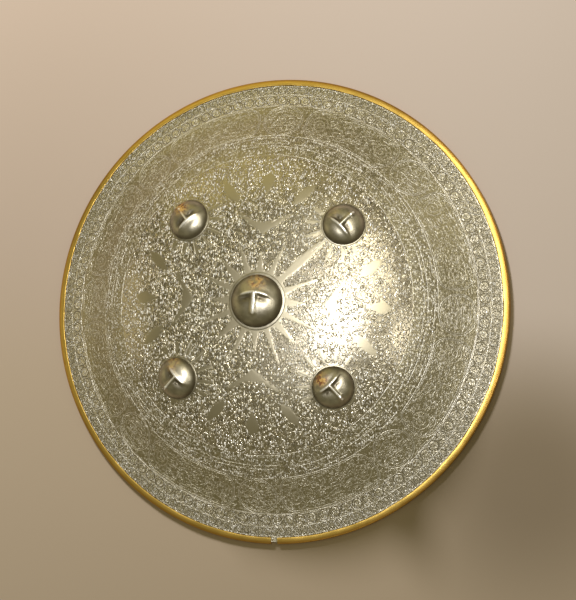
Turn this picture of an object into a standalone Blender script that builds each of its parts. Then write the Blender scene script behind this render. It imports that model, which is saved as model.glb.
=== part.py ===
"""A round steel shield with five domed bosses and a brass rim, lying face up.

The frame has its origin on the dome's axis at the height of the rim's foot. +Z runs out
of the front of the dome and +Y towards the shield's top. All sizes are in metres.
"""

import math
from dataclasses import dataclass

import bmesh
import bpy
import numpy as np
from mathutils import Matrix, Vector

# Overall size and the plate's own form. A station is a share of the rim's radius and the
# slope of the plate there, in degrees below level.
RIM_RADIUS = 0.225
PLATE_THICKNESS = 0.0015
CROWN_STATION = (0.36, 8.5)
FLANK_STATION = (0.56, 21.5)
SHOULDER_STATION = (0.765, 35.0)
LIP_SLOPE = 17.0

# The brass channel folded over the plate's edge.
RIM_BAND_WIDTH = 0.0070
RIM_WALL = 0.0012
RIM_EDGE_WALL = 0.0005
RIM_EDGE_ROUNDING = 0.0020
FOOT_FLAT_DEPTH = 0.00035
JOINT_GAP = 0.0062
JOINT_AZIMUTH = -88.0

# The bosses. Outer bosses stand on one circle, halfway between the axes.
BOSS_CIRCLE_RADIUS = 0.106
BOSS_WALL = 0.0013
BOSS_FLANGE_THICKNESS = 0.0007
OUTER_BOSS_RADIUS = 0.0197
OUTER_BOSS_HEIGHT = 0.0100
OUTER_FLANGE_WIDTH = 0.0011
CENTER_BOSS_RADIUS = 0.0246
CENTER_BOSS_HEIGHT = 0.0125
CENTER_FLANGE_WIDTH = 0.0024

# The face ridges. A root or a tip is measured from the boss's middle along the nose.
OUTER_NOSE_ROOT = 0.0045
OUTER_NOSE_TIP = 0.0125
OUTER_NOSE_RADIUS = 0.0011
OUTER_BULB_RADIUS = 0.0023
OUTER_BROW_REACH = 0.0140
OUTER_BROW_SWEEP = 0.0026
OUTER_BROW_RADIUS = 0.0011
CENTER_NOSE_ROOT = 0.0070
CENTER_NOSE_TIP = 0.0115
CENTER_NOSE_RADIUS = 0.0017
CENTER_BULB_RADIUS = 0.0024
CENTER_BROW_REACH = 0.0195
CENTER_BROW_SWEEP = -0.0055
CENTER_BROW_RADIUS = 0.0012

# Clearance between touching pieces, and how finely round forms are cut.
SEAT_GAP = 0.0003
TURN_STEPS = 68
BOSS_STEPS = 24
PLATE_RINGS = 10
DOME_RINGS = 6
HOLLOW_RINGS = 3
CUT_MARGIN = 0.004
MERGE_DISTANCE = 0.00001


@dataclass(frozen=True)
class BossSize:
    """The sizes of one kind of boss and of the ridges on it."""

    radius: float
    height: float
    flange: float
    nose_root: float
    nose_tip: float
    nose_radius: float
    bulb_radius: float
    brow_reach: float
    brow_sweep: float
    brow_radius: float


@dataclass(frozen=True)
class BossPlace:
    """Where a boss stands on the plate and which way its nose points, in degrees."""

    name: str
    size: BossSize
    distance: float
    azimuth: float
    nose_azimuth: float


OUTER_BOSS = BossSize(
    OUTER_BOSS_RADIUS,
    OUTER_BOSS_HEIGHT,
    OUTER_FLANGE_WIDTH,
    OUTER_NOSE_ROOT,
    OUTER_NOSE_TIP,
    OUTER_NOSE_RADIUS,
    OUTER_BULB_RADIUS,
    OUTER_BROW_REACH,
    OUTER_BROW_SWEEP,
    OUTER_BROW_RADIUS,
)
CENTER_BOSS = BossSize(
    CENTER_BOSS_RADIUS,
    CENTER_BOSS_HEIGHT,
    CENTER_FLANGE_WIDTH,
    CENTER_NOSE_ROOT,
    CENTER_NOSE_TIP,
    CENTER_NOSE_RADIUS,
    CENTER_BULB_RADIUS,
    CENTER_BROW_REACH,
    CENTER_BROW_SWEEP,
    CENTER_BROW_RADIUS,
)
BOSSES = (
    BossPlace("boss_center", CENTER_BOSS, 0.0, 0.0, -90.0),
    BossPlace("boss_upper_right", OUTER_BOSS, BOSS_CIRCLE_RADIUS, 45.0, 50.0),
    BossPlace("boss_upper_left", OUTER_BOSS, BOSS_CIRCLE_RADIUS, 135.0, 133.0),
    BossPlace("boss_lower_left", OUTER_BOSS, BOSS_CIRCLE_RADIUS, 225.0, 226.0),
    BossPlace("boss_lower_right", OUTER_BOSS, BOSS_CIRCLE_RADIUS, 315.0, 315.0),
)

# Sizes that follow from the ones above: the rim's section about the plate's edge.
SLOT_HALF = PLATE_THICKNESS / 2 + SEAT_GAP
NOSE_HALF = SLOT_HALF + RIM_WALL
EDGE_RADIUS = RIM_RADIUS - NOSE_HALF
EDGE_HEIGHT = NOSE_HALF - FOOT_FLAT_DEPTH
LIP_START = RIM_RADIUS - RIM_BAND_WIDTH


def slope_at(radius):
    """Return the plate's slope, in radians, at a distance from the axis.

    The slope runs smoothly through the stations and is constant in the rim's channel.
    """
    lip_share = LIP_START / RIM_RADIUS
    stations = np.array(
        [(0.0, 0.0), CROWN_STATION, FLANK_STATION, SHOULDER_STATION, (lip_share, LIP_SLOPE)]
    )
    shares, slopes = stations[:, 0], stations[:, 1]
    steps = np.diff(slopes) / np.diff(shares)
    tangents = np.concatenate([steps[:1], (steps[1:] + steps[:-1]) / 2, steps[-1:]])
    share = np.clip(np.asarray(radius, dtype=float) / RIM_RADIUS, 0.0, lip_share)
    index = np.clip(np.searchsorted(shares, share, side="right") - 1, 0, len(shares) - 2)
    width = shares[index + 1] - shares[index]
    t = (share - shares[index]) / width
    start = (2 * t**3 - 3 * t**2 + 1) * slopes[index]
    end = (3 * t**2 - 2 * t**3) * slopes[index + 1]
    leave = (t**3 - 2 * t**2 + t) * width * tangents[index]
    arrive = (t**3 - t**2) * width * tangents[index + 1]
    return np.radians(start + end + leave + arrive)


def top_edge():
    """Return the radius and height of the plate's top corner in the channel."""
    lean = math.radians(LIP_SLOPE)
    half = PLATE_THICKNESS / 2
    return EDGE_RADIUS + half * math.sin(lean), EDGE_HEIGHT + half * math.cos(lean)


def plate_height(radius):
    """Return the height of the plate's front face at a distance from the axis."""
    edge_radius, edge_height = top_edge()
    samples = np.linspace(0.0, edge_radius, 601)
    falls = np.tan(slope_at(samples))
    drops = np.concatenate([[0.0], np.cumsum((falls[1:] + falls[:-1]) / 2 * np.diff(samples))])
    return edge_height + drops[-1] - np.interp(radius, samples, drops)


def plate_rings():
    """Return the rings' radii, closer together where the plate bends more."""
    samples = np.linspace(0.0, LIP_START, 401)
    bend = np.cumsum(np.abs(np.gradient(slope_at(samples))))
    measure = bend / bend[-1] + samples / LIP_START
    rings = np.interp(np.linspace(measure[0], measure[-1], PLATE_RINGS + 1), measure, samples)
    return np.append(rings, top_edge()[0])


def plate_profile(lift=0.0):
    """Return the front face's profile, from the axis to the edge, moved out by lift."""
    rings = plate_rings()
    slopes = slope_at(rings)
    heights = plate_height(rings)
    return [
        (float(r + lift * math.sin(s)), float(z + lift * math.cos(s)))
        for r, z, s in zip(rings, heights, slopes)
    ]


def rounded_leg(side, points_in_edge):
    """Return one leg's rounded inner edge, in the channel's own axes, end first."""
    leg = RIM_BAND_WIDTH - NOSE_HALF
    rise = RIM_WALL - RIM_EDGE_WALL
    points = []
    for angle in np.linspace(0.0, math.pi / 2, points_in_edge):
        along = -leg + RIM_EDGE_ROUNDING * (1 - math.cos(angle))
        points.append((along, side * (SLOT_HALF + RIM_EDGE_WALL + rise * math.sin(angle))))
    return points


def cut_level(points, level):
    """Return a closed outline with everything under a level cut off flat."""
    kept = []
    for current, following in zip(points, points[1:] + points[:1]):
        if current[1] >= level:
            kept.append(current)
        if (current[1] < level) != (following[1] < level):
            share = (level - current[1]) / (following[1] - current[1])
            kept.append((current[0] + share * (following[0] - current[0]), level))
    return kept


def rim_section():
    """Return the channel's closed section, running down its outer side."""
    leg = RIM_BAND_WIDTH - NOSE_HALF
    lean = math.radians(LIP_SLOPE)
    widest = math.pi / 2 - lean
    angles = [*np.linspace(0.0, widest, 4), *np.linspace(widest, math.pi, 4)[1:]]
    nose = [(NOSE_HALF * math.sin(a), NOSE_HALF * math.cos(a)) for a in angles]
    slot = [(-leg, -SLOT_HALF), (SEAT_GAP, -SLOT_HALF), (SEAT_GAP, SLOT_HALF), (-leg, SLOT_HALF)]
    outline = rounded_leg(1, 3) + nose + rounded_leg(-1, 2)[::-1] + slot
    turned = [
        (
            EDGE_RADIUS + along * math.cos(lean) + across * math.sin(lean),
            EDGE_HEIGHT - along * math.sin(lean) + across * math.cos(lean),
        )
        for along, across in outline
    ]
    return cut_level(turned, 0.0)


def dome_height(size, distance, inset=0.0):
    """Return the height of a boss's dome at a distance from its middle.

    The dome is flatter than a ball on top and steep at its foot.
    """
    share = np.clip(distance / (size.radius - inset), 0.0, 1.0)
    rise = size.height - inset - BOSS_FLANGE_THICKNESS
    return BOSS_FLANGE_THICKNESS + rise * (1 - share**2.2) ** 0.58


def dome_profile(size, rings, inset=0.0):
    """Return the dome's profile from its top to its foot."""
    radius = size.radius - inset
    distances = radius * np.sin(np.linspace(0.0, math.pi / 2, rings + 1))
    return [(float(r), float(dome_height(size, r, inset))) for r in distances]


def ridge_points(size, kind):
    """Return a ridge's centre line on the dome as (x, y, z, thickness) rows.

    The nose runs along +X. The brow crosses it at the root, and its ends are swept back
    from the nose by a positive sweep, or bent towards it by a negative one.
    """
    rows = []
    if kind == "nose":
        for t in np.linspace(0.0, 1.0, 8):
            x = -size.nose_root + t * (size.nose_root + size.nose_tip)
            bulb = math.exp(-(((t - 0.84) / 0.15) ** 2))
            thick = size.nose_radius + (size.bulb_radius - size.nose_radius) * bulb
            thick *= 0.35 if t == 1.0 else 1.0
            rows.append((x, 0.0, thick))
    else:
        for t in np.linspace(-1.0, 1.0, 11):
            x = -size.nose_root - size.brow_sweep * (abs(t) ** 1.6)
            thick = size.brow_radius * (1.0 - 0.75 * abs(t) ** 2.5)
            rows.append((x, t * size.brow_reach, thick))
    points = []
    for x, y, thick in rows:
        sink = 0.25 * thick
        points.append((x, y, float(dome_height(size, math.hypot(x, y))) - sink, thick))
    return points


def new_collection(name):
    """Add a collection to the scene and return it."""
    collection = bpy.data.collections.new(name)
    bpy.context.scene.collection.children.link(collection)
    return collection


def new_material(name, color, roughness):
    """Return a metal with a colour and a roughness."""
    material = bpy.data.materials.new(name)
    material.use_nodes = True
    shader = material.node_tree.nodes["Principled BSDF"]
    shader.inputs["Base Color"].default_value = (*color, 1.0)
    shader.inputs["Roughness"].default_value = roughness
    shader.inputs["Metallic"].default_value = 1.0
    material.diffuse_color = (*color, 1.0)
    return material


def turned(name, points, steps, collection, closed=False):
    """Return a solid or a skin turned about its own Z axis from a profile at +X."""
    mesh = bpy.data.meshes.new(name)
    bm = bmesh.new()
    corners = [bm.verts.new((r, 0.0, z)) for r, z in points]
    for first, second in zip(corners, corners[1:]):
        bm.edges.new((first, second))
    if closed:
        bm.edges.new((corners[-1], corners[0]))
    bm.to_mesh(mesh)
    bm.free()
    obj = bpy.data.objects.new(name, mesh)
    collection.objects.link(obj)
    screw = obj.modifiers.new("turn", "SCREW")
    screw.axis = "Z"
    screw.angle = 2 * math.pi
    screw.steps = steps
    screw.render_steps = steps
    screw.use_merge_vertices = True
    screw.merge_threshold = MERGE_DISTANCE
    screw.use_smooth_shade = True
    return obj


def make_cutter(obj):
    """Mark an object as a guide that only shapes others."""
    obj.hide_render = True
    obj.display_type = "WIRE"
    return obj


def add_boolean(obj, operation, cutter):
    """Join a guide to an object or cut it away."""
    modifier = obj.modifiers.new(f"{operation.lower()}_{cutter.name}", "BOOLEAN")
    modifier.operation = operation
    modifier.solver = "EXACT"
    modifier.object = cutter


def ridge(name, size, kind, place, collection):
    """Return one ridge of a boss as a closed mesh, from a tapered tube."""
    points = ridge_points(size, kind)
    curve = bpy.data.curves.new(name, "CURVE")
    curve.dimensions = "3D"
    curve.bevel_depth = 1.0
    curve.bevel_resolution = 1
    curve.use_fill_caps = True
    spline = curve.splines.new("POLY")
    spline.points.add(len(points) - 1)
    for point, (x, y, z, thick) in zip(spline.points, points):
        point.co = (x, y, z, 1.0)
        point.radius = thick
    tube = bpy.data.objects.new(name + "_line", curve)
    collection.objects.link(tube)
    evaluated = tube.evaluated_get(bpy.context.evaluated_depsgraph_get())
    mesh = bpy.data.meshes.new_from_object(evaluated)
    bpy.data.objects.remove(tube)
    mesh.name = name
    bm = bmesh.new()
    bm.from_mesh(mesh)
    bmesh.ops.remove_doubles(bm, verts=bm.verts, dist=MERGE_DISTANCE)
    bmesh.ops.recalc_face_normals(bm, faces=bm.faces)
    bm.to_mesh(mesh)
    bm.free()
    obj = bpy.data.objects.new(name, mesh)
    collection.objects.link(obj)
    obj.matrix_world = place
    return make_cutter(obj)


def boss_frame(place):
    """Return a boss's matrix: on the plate, upright to it, its +X along the nose."""
    azimuth = math.radians(place.azimuth)
    lean = float(slope_at(place.distance))
    outward = Vector((math.cos(azimuth), math.sin(azimuth), 0.0))
    normal = outward * math.sin(lean) + Vector((0.0, 0.0, math.cos(lean)))
    foot = outward * place.distance
    foot.z = float(plate_height(place.distance))
    nose = math.radians(place.nose_azimuth)
    along = Vector((math.cos(nose), math.sin(nose), 0.0))
    along = (along - normal * along.dot(normal)).normalized()
    across = normal.cross(along)
    turn = Matrix((along, across, normal)).transposed().to_4x4()
    return Matrix.Translation(foot + normal * SEAT_GAP) @ turn


def build_plate(collection, material):
    """Build the dished plate as a skin with thickness."""
    plate = turned("plate", plate_profile(), TURN_STEPS, collection)
    solidify = plate.modifiers.new("thickness", "SOLIDIFY")
    solidify.thickness = PLATE_THICKNESS
    solidify.offset = -1.0
    solidify.use_even_offset = True
    plate.data.materials.append(material)


def build_rim(collection, cutters, material):
    """Build the channel with the open joint between its two ends."""
    rim = turned("rim", rim_section(), TURN_STEPS, collection, closed=True)
    mesh = bpy.data.meshes.new("rim_joint_cutter")
    bm = bmesh.new()
    bmesh.ops.create_cube(bm, size=1.0)
    bmesh.ops.scale(bm, verts=bm.verts, vec=(4 * RIM_BAND_WIDTH, JOINT_GAP, 8 * NOSE_HALF))
    bm.to_mesh(mesh)
    bm.free()
    joint = bpy.data.objects.new("rim_joint_cutter", mesh)
    cutters.objects.link(joint)
    azimuth = math.radians(JOINT_AZIMUTH)
    joint.location = (EDGE_RADIUS * math.cos(azimuth), EDGE_RADIUS * math.sin(azimuth), EDGE_HEIGHT)
    joint.rotation_euler = (0.0, 0.0, azimuth)
    add_boolean(rim, "DIFFERENCE", make_cutter(joint))
    rim.data.materials.append(material)


def build_seat(cutters):
    """Build the guide that cuts each boss's foot to the plate, clear by the gap."""
    profile = plate_profile(SEAT_GAP)
    outer = profile[-1][0]
    points = profile + [(outer, -CUT_MARGIN), (0.0, -CUT_MARGIN)]
    return make_cutter(turned("seat_cutter", points, TURN_STEPS, cutters))


def build_boss(place, seat, collection, cutters, material):
    """Build one hollow boss with its nose and brow ridges."""
    size = place.size
    frame = boss_frame(place)
    outer = size.radius + size.flange
    profile = dome_profile(size, DOME_RINGS)
    profile += [(outer, 0.8 * BOSS_FLANGE_THICKNESS), (outer, -CUT_MARGIN), (0.0, -CUT_MARGIN)]
    boss = turned(place.name, profile, BOSS_STEPS, collection)
    boss.matrix_world = frame
    for kind in ("nose", "brow"):
        guide = ridge(f"{place.name}_{kind}_guide", size, kind, frame, cutters)
        add_boolean(boss, "UNION", guide)
    inner = dome_profile(size, HOLLOW_RINGS, BOSS_WALL)
    inner += [(inner[-1][0], -2 * CUT_MARGIN), (0.0, -2 * CUT_MARGIN)]
    hollow = make_cutter(turned(f"{place.name}_hollow_cutter", inner, BOSS_STEPS, cutters))
    hollow.matrix_world = frame
    add_boolean(boss, "DIFFERENCE", hollow)
    add_boolean(boss, "DIFFERENCE", seat)
    boss.data.materials.append(material)


def main():
    """Build the shield in an empty scene."""
    for obj in list(bpy.data.objects):
        bpy.data.objects.remove(obj, do_unlink=True)
    parts = new_collection("buckler_shield")
    cutters = new_collection("cutters")
    build_plate(parts, new_material("engraved_steel", (0.42, 0.40, 0.31), 0.38))
    build_rim(parts, cutters, new_material("brass", (0.80, 0.52, 0.16), 0.28))
    seat = build_seat(cutters)
    for place in BOSSES:
        steel = new_material(f"{place.name}_steel", (0.38, 0.36, 0.30), 0.25)
        build_boss(place, seat, parts, cutters, steel)


main()
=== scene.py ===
"""A round steel shield with an engraved face, five domed bosses and a brass binding.

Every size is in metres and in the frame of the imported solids: the dome's axis is Z and the
shield's top points along +Y. Patterns inside the finishes are worked out in millimetres.
"""

import logging
import math
from dataclasses import dataclass
from enum import Enum
from typing import Sequence, Union

import bmesh
import bpy
import numpy as np
from mathutils import Matrix, Vector


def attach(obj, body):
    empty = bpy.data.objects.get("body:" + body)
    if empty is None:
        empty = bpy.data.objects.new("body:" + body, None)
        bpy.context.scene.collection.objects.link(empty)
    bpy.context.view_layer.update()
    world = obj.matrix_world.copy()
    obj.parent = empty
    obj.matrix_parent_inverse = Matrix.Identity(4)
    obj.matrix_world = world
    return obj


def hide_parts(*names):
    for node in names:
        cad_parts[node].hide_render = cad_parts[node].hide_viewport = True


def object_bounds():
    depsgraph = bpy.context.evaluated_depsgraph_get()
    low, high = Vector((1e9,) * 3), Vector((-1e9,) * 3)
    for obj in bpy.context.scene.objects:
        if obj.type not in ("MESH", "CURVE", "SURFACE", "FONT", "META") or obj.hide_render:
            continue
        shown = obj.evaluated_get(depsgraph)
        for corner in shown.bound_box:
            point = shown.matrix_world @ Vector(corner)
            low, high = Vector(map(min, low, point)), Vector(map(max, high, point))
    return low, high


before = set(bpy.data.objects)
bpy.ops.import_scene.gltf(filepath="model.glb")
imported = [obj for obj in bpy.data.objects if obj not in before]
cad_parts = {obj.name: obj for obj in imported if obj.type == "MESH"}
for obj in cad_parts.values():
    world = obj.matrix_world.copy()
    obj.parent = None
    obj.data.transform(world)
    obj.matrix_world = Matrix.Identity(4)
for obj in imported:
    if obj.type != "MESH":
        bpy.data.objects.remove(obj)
cad_low, cad_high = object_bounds()

LOG = logging.getLogger("shield")
BODY = "root"
PER_MM = 1000.0
BINDING = "brass_binding"
Feed = Union[bpy.types.NodeSocket, float, int, Sequence[float]]
Color = tuple[float, float, float]


# Small helpers for meshes


def clear_selection() -> None:
    """Leave edit mode and deselect every object."""
    if bpy.context.object is not None and bpy.context.object.mode != "OBJECT":
        bpy.ops.object.mode_set(mode="OBJECT")
    bpy.ops.object.select_all(action="DESELECT")


def make_active(piece: bpy.types.Object) -> None:
    """Select one object alone and make it the active one.

    Args:
        piece: The object to work on.
    """
    clear_selection()
    piece.select_set(True)
    bpy.context.view_layer.objects.active = piece


def points_of(piece: bpy.types.Object) -> np.ndarray:
    """Return a mesh's points.

    Args:
        piece: The object whose points are read.

    Returns:
        An array of one row of x, y and z for each point.
    """
    flat = np.empty(len(piece.data.vertices) * 3)
    piece.data.vertices.foreach_get("co", flat)
    return flat.reshape(-1, 3)


def set_points(piece: bpy.types.Object, points: np.ndarray) -> None:
    """Move a mesh's points.

    Args:
        piece: The object whose points move.
        points: One row of x, y and z for each point.
    """
    piece.data.vertices.foreach_set("co", np.ascontiguousarray(points, dtype=np.float32).ravel())
    piece.data.update()


def store(piece: bpy.types.Object, name: str, values: np.ndarray) -> None:
    """Keep one number for each point of a mesh, for its finish to read.

    Args:
        piece: The object that carries the numbers.
        name: The attribute's name.
        values: One number for each point.
    """
    attribute = piece.data.attributes.new(name, "FLOAT", "POINT")
    attribute.data.foreach_set("value", values.astype(np.float32))


def turned_strip(
    name: str,
    profile: Sequence[tuple[float, float]],
    steps: int,
    start: float = 0.0,
    sweep: float = 2 * math.pi,
    closed: bool = False,
) -> bpy.types.Object:
    """Turn a line of points about the Z axis.

    Args:
        name: The new object's name.
        profile: The line's points as (radius, height).
        steps: The number of steps in the sweep.
        start: The azimuth that the sweep starts from, in radians.
        sweep: The angle turned through.
        closed: Whether the line's last point joins its first.

    Returns:
        The new object, with its place in its mesh.
    """
    clear_selection()
    first = profile[0]
    away = (math.cos(start), math.sin(start))
    bpy.ops.mesh.primitive_plane_add(
        size=0.001, location=(first[0] * away[0], first[0] * away[1], first[1])
    )
    strip = bpy.context.object
    strip.name = name
    bpy.ops.object.transform_apply(location=True, rotation=True, scale=True)
    bpy.ops.object.mode_set(mode="EDIT")
    bpy.ops.mesh.select_mode(type="VERT")
    bpy.ops.mesh.select_all(action="SELECT")
    bpy.ops.mesh.merge(type="CENTER")
    for before, after in zip(profile, profile[1:]):
        out = after[0] - before[0]
        step = (out * away[0], out * away[1], after[1] - before[1])
        bpy.ops.mesh.extrude_region_move(TRANSFORM_OT_translate={"value": step})
    if closed:
        body = bmesh.from_edit_mesh(strip.data)
        body.verts.ensure_lookup_table()
        body.edges.new((body.verts[-1], body.verts[0]))
        bmesh.update_edit_mesh(strip.data)
    wedges = max(n for n in range(1, 41) if steps % n == 0)
    bpy.ops.mesh.select_all(action="SELECT")
    bpy.ops.mesh.spin(steps=steps // wedges, angle=sweep / wedges, center=(0, 0, 0), axis=(0, 0, 1))
    if wedges > 1:
        bpy.ops.mesh.select_all(action="SELECT")
        bpy.ops.mesh.spin(
            steps=wedges - 1,
            dupli=True,
            angle=sweep - sweep / wedges,
            center=(0, 0, 0),
            axis=(0, 0, 1),
        )
    bpy.ops.mesh.select_all(action="SELECT")
    bpy.ops.mesh.remove_doubles(threshold=0.000002)
    bpy.ops.object.mode_set(mode="OBJECT")
    return strip


def joined(name: str, strips: Sequence[bpy.types.Object]) -> bpy.types.Object:
    """Join several objects into one.

    Args:
        name: The name of the result.
        strips: The objects, of which the first one stays.

    Returns:
        The joined object.
    """
    make_active(strips[0])
    for strip in strips:
        strip.select_set(True)
    bpy.ops.object.join()
    whole = bpy.context.object
    whole.name = name
    whole.data.name = name
    return whole


def bridge_gap(piece: bpy.types.Object, low: float, high: float) -> None:
    """Bridge the two open loops whose radii lie between two values.

    Args:
        piece: The object with the open loops.
        low: The smaller radius.
        high: The larger radius.
    """
    make_active(piece)
    bpy.ops.object.mode_set(mode="EDIT")
    bpy.ops.mesh.select_mode(type="EDGE")
    bpy.ops.mesh.select_all(action="DESELECT")
    body = bmesh.from_edit_mesh(piece.data)
    for edge in body.edges:
        middle = (edge.verts[0].co + edge.verts[1].co) / 2
        if edge.is_boundary and low <= math.hypot(middle.x, middle.y) <= high:
            edge.select_set(True)
    bmesh.update_edit_mesh(piece.data)
    bpy.ops.mesh.bridge_edge_loops()
    bpy.ops.object.mode_set(mode="OBJECT")


def close_and_smooth(piece: bpy.types.Object, angle: float) -> None:
    """Turn all faces outwards and shade a piece smooth below an angle.

    Args:
        piece: The object to finish.
        angle: The angle between faces from which an edge stays sharp, in degrees.
    """
    make_active(piece)
    bpy.ops.object.mode_set(mode="EDIT")
    bpy.ops.mesh.select_all(action="SELECT")
    bpy.ops.mesh.normals_make_consistent(inside=False)
    bpy.ops.object.mode_set(mode="OBJECT")
    bpy.ops.object.shade_smooth_by_angle(angle=math.radians(angle))


def hold(piece: bpy.types.Object, slot: str, *nodes: str) -> None:
    """Fix a finished piece to the shield's one body.

    Args:
        piece: The finished piece.
        slot: Not used.
        nodes: The solids that the piece stands for.
    """
    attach(piece, BODY)
    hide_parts(*nodes)


def smoothstep(values: np.ndarray, low: float, high: float) -> np.ndarray:
    """Return 0 below low and 1 above high, with a smooth rise between.

    Args:
        values: The numbers to map.
        low: Where the rise starts.
        high: Where the rise ends.

    Returns:
        The mapped numbers.
    """
    share = np.clip((values - low) / (high - low), 0.0, 1.0)
    return share * share * (3.0 - 2.0 * share)


# The forms that the pieces share


@dataclass(frozen=True)
class DishForm:
    """The plate's dished form and the place of its edge in the binding."""

    rim_radius: float = 0.225
    thickness: float = 0.0015
    crown: tuple[float, float] = (0.36, 8.5)
    flank: tuple[float, float] = (0.56, 21.5)
    shoulder: tuple[float, float] = (0.765, 35.0)
    lip_slope: float = 17.0
    band_width: float = 0.0070
    rim_wall: float = 0.0012
    seat_gap: float = 0.0003
    foot_flat: float = 0.00035

    @property
    def slot_half(self) -> float:
        """Half the width of the binding's slot."""
        return self.thickness / 2 + self.seat_gap

    @property
    def nose_half(self) -> float:
        """The radius of the binding's rounded outer side."""
        return self.slot_half + self.rim_wall

    @property
    def edge_radius(self) -> float:
        """The radius of the plate's edge at the middle of its thickness."""
        return self.rim_radius - self.nose_half

    @property
    def edge_height(self) -> float:
        """The height of the plate's edge at the middle of its thickness."""
        return self.nose_half - self.foot_flat

    @property
    def lip_start(self) -> float:
        """The radius at which the binding starts."""
        return self.rim_radius - self.band_width

    def slope(self, radius: np.ndarray) -> np.ndarray:
        """Return the slope of the front face.

        Args:
            radius: Distances from the dome's axis.

        Returns:
            The slopes there, in radians below level.
        """
        lip = self.lip_start / self.rim_radius
        stations = np.array(
            [(0.0, 0.0), self.crown, self.flank, self.shoulder, (lip, self.lip_slope)]
        )
        shares, slopes = stations[:, 0], stations[:, 1]
        steps = np.diff(slopes) / np.diff(shares)
        tangents = np.concatenate([steps[:1], (steps[1:] + steps[:-1]) / 2, steps[-1:]])
        share = np.clip(np.asarray(radius, dtype=float) / self.rim_radius, 0.0, lip)
        index = np.clip(np.searchsorted(shares, share, side="right") - 1, 0, 3)
        width = shares[index + 1] - shares[index]
        t = (share - shares[index]) / width
        value = (2 * t**3 - 3 * t**2 + 1) * slopes[index]
        value = value + (3 * t**2 - 2 * t**3) * slopes[index + 1]
        value = value + (t**3 - 2 * t**2 + t) * width * tangents[index]
        value = value + (t**3 - t**2) * width * tangents[index + 1]
        return np.radians(value)

    def front_edge(self) -> tuple[float, float]:
        """Return the radius and height of the front face's outer edge."""
        lean = math.radians(self.lip_slope)
        half = self.thickness / 2
        return self.edge_radius + half * math.sin(lean), self.edge_height + half * math.cos(lean)

    def height(self, radius: np.ndarray) -> np.ndarray:
        """Return the height of the front face.

        Args:
            radius: Distances from the dome's axis.

        Returns:
            The heights there.
        """
        edge_radius, edge_height = self.front_edge()
        samples = np.linspace(0.0, edge_radius, 601)
        falls = np.tan(self.slope(samples))
        drops = np.concatenate(
            [[0.0], np.cumsum((falls[1:] + falls[:-1]) / 2 * np.diff(samples))]
        )
        return edge_height + drops[-1] - np.interp(radius, samples, drops)

    def normals(self, points: np.ndarray) -> np.ndarray:
        """Return the front face's outward directions below or above some points.

        Args:
            points: Rows of x, y and z.

        Returns:
            Rows of unit directions.
        """
        radius = np.hypot(points[:, 0], points[:, 1])
        lean = self.slope(radius)
        safe = np.maximum(radius, 1e-9)
        across = np.sin(lean) / safe
        return np.column_stack([points[:, 0] * across, points[:, 1] * across, np.cos(lean)])


@dataclass(frozen=True)
class BossPlace:
    """Where a boss stands on the plate and which way its nose points, in degrees."""

    node: str
    distance: float
    azimuth: float
    nose_azimuth: float

    def matrix(self, dish: DishForm) -> Matrix:
        """Return the boss's place, upright to the plate, with +X along the nose.

        Args:
            dish: The plate's form.

        Returns:
            The matrix from the boss's own axes to the shield's.
        """
        azimuth = math.radians(self.azimuth)
        lean = float(dish.slope(self.distance))
        outward = Vector((math.cos(azimuth), math.sin(azimuth), 0.0))
        normal = outward * math.sin(lean) + Vector((0.0, 0.0, math.cos(lean)))
        foot = outward * self.distance
        foot.z = float(dish.height(self.distance))
        nose = math.radians(self.nose_azimuth)
        along = Vector((math.cos(nose), math.sin(nose), 0.0))
        along = (along - normal * along.dot(normal)).normalized()
        turn = Matrix((along, normal.cross(along), normal)).transposed().to_4x4()
        return Matrix.Translation(foot + normal * dish.seat_gap) @ turn


class LeafShape(Enum):
    """How a leaf's width runs from its start to its tip."""

    RAY = "ray"
    LENS = "lens"
    DROP = "drop"


@dataclass(frozen=True)
class Leaf:
    """One plain leaf left standing in the cut ground, in shares of the shield's radius."""

    start: tuple[float, float]
    tip: tuple[float, float]
    half_width: float
    shape: LeafShape

    def distance(self, x: np.ndarray, y: np.ndarray) -> np.ndarray:
        """Return the distance to the leaf's edge, which is below zero inside.

        Args:
            x: Places to the right of the axis, as shares of the radius.
            y: Places above the axis, as shares of the radius.

        Returns:
            The distances, as shares of the radius.
        """
        run = (self.tip[0] - self.start[0], self.tip[1] - self.start[1])
        length = math.hypot(*run)
        along = ((x - self.start[0]) * run[0] + (y - self.start[1]) * run[1]) / length
        across = np.abs((x - self.start[0]) * run[1] - (y - self.start[1]) * run[0]) / length
        share = np.clip(along / length, 0.0, 1.0)
        if self.shape is LeafShape.RAY:
            width = self.half_width * (1.0 - share) ** 0.85
        elif self.shape is LeafShape.LENS:
            width = self.half_width * (4.0 * share * (1.0 - share)) ** 0.8
        else:
            width = self.half_width * (np.sin(math.pi * share**1.6)) ** 0.9
        beyond = np.maximum(np.maximum(-along, along - length), 0.0)
        return np.where(beyond > 0.0, np.hypot(across, beyond), across - width)


def polar(share: float, degrees: float) -> tuple[float, float]:
    """Return the place at a share of the radius and an azimuth in degrees."""
    return share * math.cos(math.radians(degrees)), share * math.sin(math.radians(degrees))


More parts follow.
